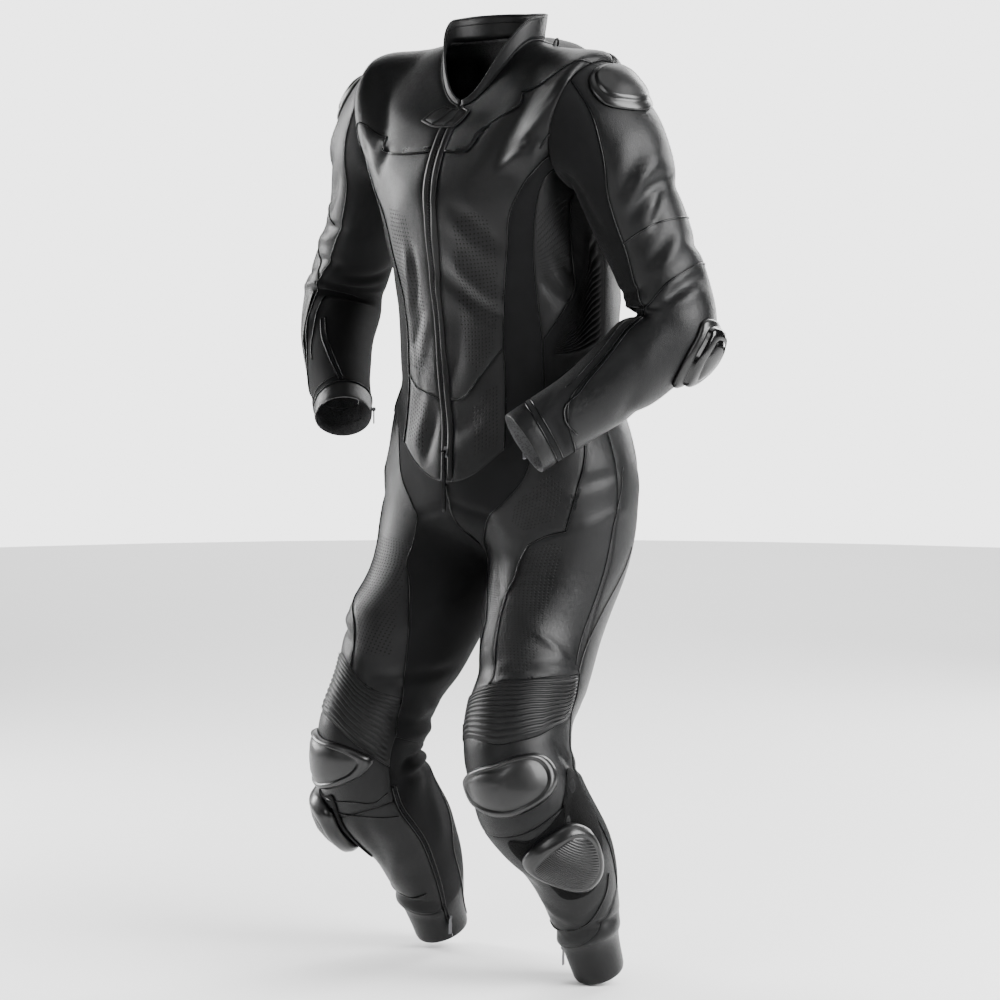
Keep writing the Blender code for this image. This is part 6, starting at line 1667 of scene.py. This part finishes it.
FOREARM_CORD = ((0.263, 0.352), (0.28, 0.39), (0.308, 0.436), (0.34, 0.479), (0.36, 0.5), (0.366, 0.52),
                (0.385, 0.536), (0.44, 0.546), (0.52, 0.54))
UPPER_CORD = ((0.205, 0.368), (0.232, 0.41), (0.262, 0.455), (0.292, 0.492), (0.296, 0.512))
CUFF_CORD = ((0.171, 0.566), (0.28, 0.572), (0.386, 0.577), (0.51, 0.578), (0.63, 0.576))
CUFF_ZIP = {
    1: (
        ((0.16, 0.47), (0.15, 0.52), (0.13, 0.57), (0.108, 0.612)),
        ((0.182, 0.472), (0.172, 0.522), (0.152, 0.572), (0.13, 0.614))),
    -1: (
        ((0.2, 0.41), (0.197, 0.45), (0.175, 0.49), (0.142, 0.54)),
        ((0.222, 0.412), (0.219, 0.452), (0.197, 0.492), (0.164, 0.542))),
}

MIDDLE_RADIUS, MIDDLE_DEPTH, MIDDLE_POINTS = 0.0014, 0.0004, 48


def middle_seam(surface):
    """The cord of the trousers' middle seam: the leg's first and last lines down to the crotch."""
    parts = []
    for turn in (0.0, 1.0):
        where = np.stack([np.full(MIDDLE_POINTS, turn), np.linspace(0.002, CROTCH, MIDDLE_POINTS)], -1)
        points = surface.spot(where, -MIDDLE_DEPTH)[0]
        points[:, 0] = 0.0
        parts.append(cord_mesh(points, MIDDLE_RADIUS))
    return parts


class SUIT_OT_piping(bpy.types.Operator):
    """Piping and raised cords along the seams, zip lips among them"""
    bl_idname = "suit.piping"
    bl_label = "Piping"

    def execute(self, context):
        for surface in SURFACES.values():
            parts = [cord_mesh(trim_path(surface, rows, 0.35 * radius), radius)
                     for rows, radius in trims_of(surface)]
            if surface.name == "leg_left":
                parts += middle_seam(surface)
            finish_piece(joined_parts("piping_" + surface.name, parts, [MATERIALS["trim"]]))
        return {"FINISHED"}


class SUIT_OT_stitches(bpy.types.Operator):
    """Rows of stitches beside the seams"""
    bl_idname = "suit.stitches"
    bl_label = "Stitches"

    def execute(self, context):
        for surface in SURFACES.values():
            finish_piece(stitches(surface, context.scene.suit_sizes.stitch))
        return {"FINISHED"}


def repeated(surface, plane, way, out, shape, kinds):
    """One small solid at every place of the flat cut, turned along its seam: points and faces."""
    base, normals = on_surface(surface, plane, out)
    along = unit(on_surface(surface, plane + way * AHEAD, out)[0] - base)
    axes = np.stack([along, np.cross(normals, along), normals], 1)
    points = base[:, None] + np.einsum("pk,nkc->npc", shape, axes)
    step = (np.arange(len(points)) * len(shape))[:, None, None]
    return points.reshape(-1, 3), [(np.array(faces) + step).reshape(-1, len(faces[0])) for faces in kinds]


STITCH_AWAY, STITCH_DEPTH = 0.0025, 0.0002    # from the seam, and into the leather
STITCH_HALF, STITCH_RADIUS = 0.34, 0.00024    # share of the pitch, and metres
SPINDLE = ([(-1.0, 0, 0)] + [(x, c, w) for x in (-0.5, 0.5) for c, w in ((1, 0), (0, 1), (-1, 0), (0, -1))]
           + [(1.0, 0, 0)])
SPINDLE_SIDES = [(1 + k, 5 + k, 5 + (k + 1) % 4, 1 + (k + 1) % 4) for k in range(4)]
SPINDLE_ENDS = ([(0, 1 + k, 1 + (k + 1) % 4) for k in range(4)]
                + [(9, 5 + (k + 1) % 4, 5 + k) for k in range(4)])


def stitches(surface, pitch):
    """Thread along both sides of every inner seam: one small spindle for each stitch."""
    cut, places, ways = surface.cut, [], []
    for line in cut.lines[cut.first_inner:cut.sewn_lines]:
        at = np.arange(pitch, distances(line)[-1] - pitch, pitch)
        if len(at):
            middle, way = places_on(line, at)
            places += [middle + side * STITCH_AWAY * left_of(way) for side in (1, -1)]
            ways += [way, way]
    shape = np.array(SPINDLE) * (STITCH_HALF * pitch, STITCH_RADIUS, STITCH_RADIUS)
    points, faces = repeated(surface, np.concatenate(places), np.concatenate(ways), -STITCH_DEPTH, shape,
                             (SPINDLE_SIDES, SPINDLE_ENDS))
    return outward(new_object("stitches_" + surface.name, points, faces, [MATERIALS["thread"]]))


TOOTH_PITCH, TOOTH_WIDE, TOOTH_HALF = 0.0026, 0.0030, 0.0006
BOX = [(x, y, z) for x in (-1, 1) for y in (-1, 1) for z in (-1, 1)]
BOX_SIDES = ((0, 1, 3, 2), (4, 6, 7, 5), (0, 4, 5, 1), (2, 3, 7, 6), (0, 2, 6, 4), (1, 5, 7, 3))


def teeth(surface, rows, out):
    """Zip teeth: small boxes along a path, turned about to left and right."""
    line = surface.cut.to_plane(smooth_rows(rows, surface.cut.scale, 0.004))
    middle, way = places_on(line, np.arange(0, distances(line)[-1], TOOTH_PITCH))
    side = np.where(np.arange(len(way)) % 2, 1, -1)[:, None] * 0.22 * TOOTH_WIDE
    shape = np.array(BOX) * (0.30 * TOOTH_PITCH, 0.5 * TOOTH_WIDE, TOOTH_HALF)
    return repeated(surface, middle + side * left_of(way), way, out, shape, (BOX_SIDES,))


class SUIT_OT_zips(bpy.types.Operator):
    """Teeth of the front, cuff and calf zips"""
    bl_idname = "suit.zips"
    bl_label = "Zip teeth"

    def execute(self, context):
        heights = np.arange(0.004, 0.56, 0.02)
        rows = {"torso": list(zip(zip_place(heights)[0], heights))}
        for side, word in SIDE_NAMES.items():
            for kind, lips in (("sleeve_", CUFF_ZIP[side]), ("leg_", CALF_ZIP)):
                rows[kind + word] = np.mean(lips, axis=0)
        for name, line in rows.items():
            points, faces = teeth(SURFACES[name], line, 0.0002 if name == "torso" else 0.0006)
            obj = new_object("zip_teeth_" + name, points, faces, [MATERIALS["teeth"]], smooth=False)
            finish_piece(outward(obj))
        return {"FINISHED"}


class SUIT_OT_neck_trim(bpy.types.Operator):
    """Binding of the collar and the hang loop behind it"""
    bl_idname = "suit.neck_trim"
    bl_label = "Collar binding and hang loop"

    def execute(self, context):
        base, up, inward, height, lean = collar_frame(COLLAR_PLACES)
        parts = []
        for share, away, radius in NECK_CORDS:
            parts.append(cord_mesh(base + up * (height * share + COLLAR_FOOT)[:, None]
                                   + inward * (lean * share + away)[:, None], radius))
        foot, normal = SURFACES["torso"].spot(np.array([(104.0, 0.566)]), 0.0)
        turn = np.linspace(-0.15, np.pi + 0.15, 22)[:, None]
        side = unit(np.cross(normal[0], (0.0, 0.0, 1.0)))
        loop = foot[0] + normal[0] * 0.010 * np.sin(turn) + side * 0.007 * np.cos(turn)
        parts.append(cord_mesh(loop, 0.0016))
        parts += [cord_mesh(trim_path(SURFACES["torso"], rows, 0.0030), 0.0012) for rows in TAB_CORDS]
        finish_piece(joined_parts("piping_collar", parts, [MATERIALS["soft"]]))
        return {"FINISHED"}


class SUIT_OT_metal(bpy.types.Operator):
    """Finish of the zip slider and the pull tabs"""
    bl_idname = "suit.metal"
    bl_label = "Slider and pulls"

    def execute(self, context):
        for name in ("zip_pull", "zip_slider", "cuff_pull_left", "cuff_pull_right", "calf_pull_left",
                     "calf_pull_right"):
            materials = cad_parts[name].data.materials
            materials.clear()
            materials.append(MATERIALS["trim" if name == "zip_pull" else "metal"])
        return {"FINISHED"}


# ---------------------------------------------------------------- stage
CAMERA_TURN, CAMERA_RISE, CAMERA_DISTANCE, HALF_VIEW = 42.0, 6.0, 5.5, 0.735
AIM_SIDE, AIM_DOWN = 0.0132, 0.642      # where the camera looks, from the origin: to its right, down
FLOOR_GAP = 0.0015
LIGHTS = (  # name, turn and rise from the middle of the suit (degrees), distance, width, height, watts
    ("left_strip", -80.0, 16.0, 2.4, 0.6, 1.7, 105.0),
    ("right_soft", 98.0, 26.0, 2.6, 1.7, 1.9, 230.0),
    ("front_soft", 4.0, 26.0, 3.0, 0.8, 1.4, 30.0),
    ("top", 60.0, 78.0, 2.8, 1.6, 1.0, 10.0),
    ("back_strip", 185.0, 20.0, 2.8, 0.8, 2.0, 60.0),
)
WORLD_LIGHT, WORLD_SEEN = 0.05, 3.6
FLOOR_RADIUS, WASH_AWAY, WASH_HIGH, WASH_SIZE = 5.5, 5.6, 3.3, (8.0, 6.0)
# Lights that wash the far floor: turn from the camera, watts, how far their rays fan out (degrees).
WASHES = ((180.0, 560.0, 180.0), (0.0, 300.0, 50.0), (90.0, 180.0, 50.0), (-90.0, 180.0, 50.0))


def direction(turn, rise):
    """Unit vector at a turn about +Z from the suit's front, and a rise over the floor."""
    t, r = np.radians(turn), np.radians(rise)
    return np.array([np.sin(t) * np.cos(r), -np.cos(t) * np.cos(r), np.sin(r)])


def panel_light(name, wide, tall, watts):
    light = bpy.data.lights.new(name, "AREA")
    light.shape, light.size, light.size_y, light.energy = "RECTANGLE", wide, tall, watts
    return bpy.data.objects.new(name, light)


def aimed(obj, eye, target):
    obj.location = Vector(eye)
    obj.rotation_euler = Vector(np.asarray(target) - np.asarray(eye)).to_track_quat("-Z", "Y").to_euler()
    bpy.context.scene.collection.objects.link(obj)
    return obj


class SUIT_OT_stage(bpy.types.Operator):
    """Pale floor, soft studio lights and the camera"""
    bl_idname = "suit.stage"
    bl_label = "Stage"

    def execute(self, context):
        low, high = CAD_BOX
        middle = np.array((low + high) / 2)
        level = low.z - FLOOR_GAP
        turn = 2 * np.pi * np.arange(96) / 96
        corners = np.stack([FLOOR_RADIUS * np.cos(turn), FLOOR_RADIUS * np.sin(turn), 0 * turn + level], -1)
        shade = Shade("Pale floor", Roughness=0.6, Specular_IOR_Level=0.2)
        grit = shade.noise(3.0)
        pale = shade.set(Base_Color=shade.mix(grit, (0.86, 0.86, 0.86), (0.88, 0.88, 0.88)))
        floor = new_object("floor", corners, [np.arange(96)[None]], [pale], smooth=False)
        for name, turn, rise, distance, wide, tall, watts in LIGHTS:
            aimed(panel_light(name, wide, tall, watts), middle + direction(turn, rise) * distance, middle)
        for turn, watts, fan in WASHES:
            light = panel_light("floor_wash", *WASH_SIZE, watts)
            light.data.spread = np.radians(fan)
            foot = direction(CAMERA_TURN + turn, 0.0) * WASH_AWAY + (0.0, 0.0, level)
            aimed(light, foot + (0.0, 0.0, WASH_HIGH), foot + (0.0, 0.01, 0.0))
        world = bpy.data.worlds.new("Studio")
        world.use_nodes = True
        tree = world.node_tree
        dim, seen = tree.nodes["Background"], tree.nodes.new("ShaderNodeBackground")
        for shader, strength in ((dim, WORLD_LIGHT), (seen, WORLD_SEEN)):
            shader.inputs["Color"].default_value = (1.0, 1.0, 1.0, 1.0)
            shader.inputs["Strength"].default_value = strength
        mixed = tree.nodes.new("ShaderNodeMixShader")
        tree.links.new(tree.nodes.new("ShaderNodeLightPath").outputs["Is Camera Ray"], mixed.inputs[0])
        tree.links.new(dim.outputs[0], mixed.inputs[1])
        tree.links.new(seen.outputs[0], mixed.inputs[2])
        tree.links.new(mixed.outputs[0], tree.nodes["World Output"].inputs[0])
        context.scene.world = world
        turn = np.radians(CAMERA_TURN)
        target = AIM_SIDE * np.array([np.cos(turn), np.sin(turn), 0.0]) - np.array([0.0, 0.0, AIM_DOWN])
        camera = bpy.data.cameras.new("camera")
        camera.sensor_width = 36.0
        camera.lens = 18.0 * CAMERA_DISTANCE / HALF_VIEW
        eye = target + direction(CAMERA_TURN, CAMERA_RISE) * CAMERA_DISTANCE
        context.scene.camera = aimed(bpy.data.objects.new("camera", camera), eye, target)
        return {"FINISHED"}


class SUIT_PT_panel(bpy.types.Panel):
    """Sizes, colours and makers of the suit"""
    bl_label = "Race Suit"
    bl_idname = "SUIT_PT_panel"
    bl_space_type = "VIEW_3D"
    bl_region_type = "UI"
    bl_category = "Race Suit"

    def draw(self, context):
        for group in (context.scene.suit_sizes, context.scene.suit_colours):
            for name in group.bl_rna.properties.keys():
                if name not in ("name", "rna_type"):
                    self.layout.prop(group, name)
        for operator in OPERATORS:
            self.layout.operator(operator.bl_idname)


OPERATORS = (SUIT_OT_panels, SUIT_OT_collar, SUIT_OT_plates, SUIT_OT_piping, SUIT_OT_stitches,
             SUIT_OT_zips, SUIT_OT_neck_trim, SUIT_OT_metal, SUIT_OT_stage)
CLASSES = (SuitSizes, SuitColours) + OPERATORS + (SUIT_PT_panel,)


def register():
    for item in CLASSES:
        bpy.utils.register_class(item)
    bpy.types.Scene.suit_sizes = PointerProperty(type=SuitSizes)
    bpy.types.Scene.suit_colours = PointerProperty(type=SuitColours)


def unregister():
    del bpy.types.Scene.suit_sizes, bpy.types.Scene.suit_colours
    for item in reversed(CLASSES):
        bpy.utils.unregister_class(item)


def main():
    register()
    for operator in OPERATORS:
        getattr(bpy.ops.suit, operator.bl_idname.split(".")[1])()


if __name__ == "__main__":
    main()
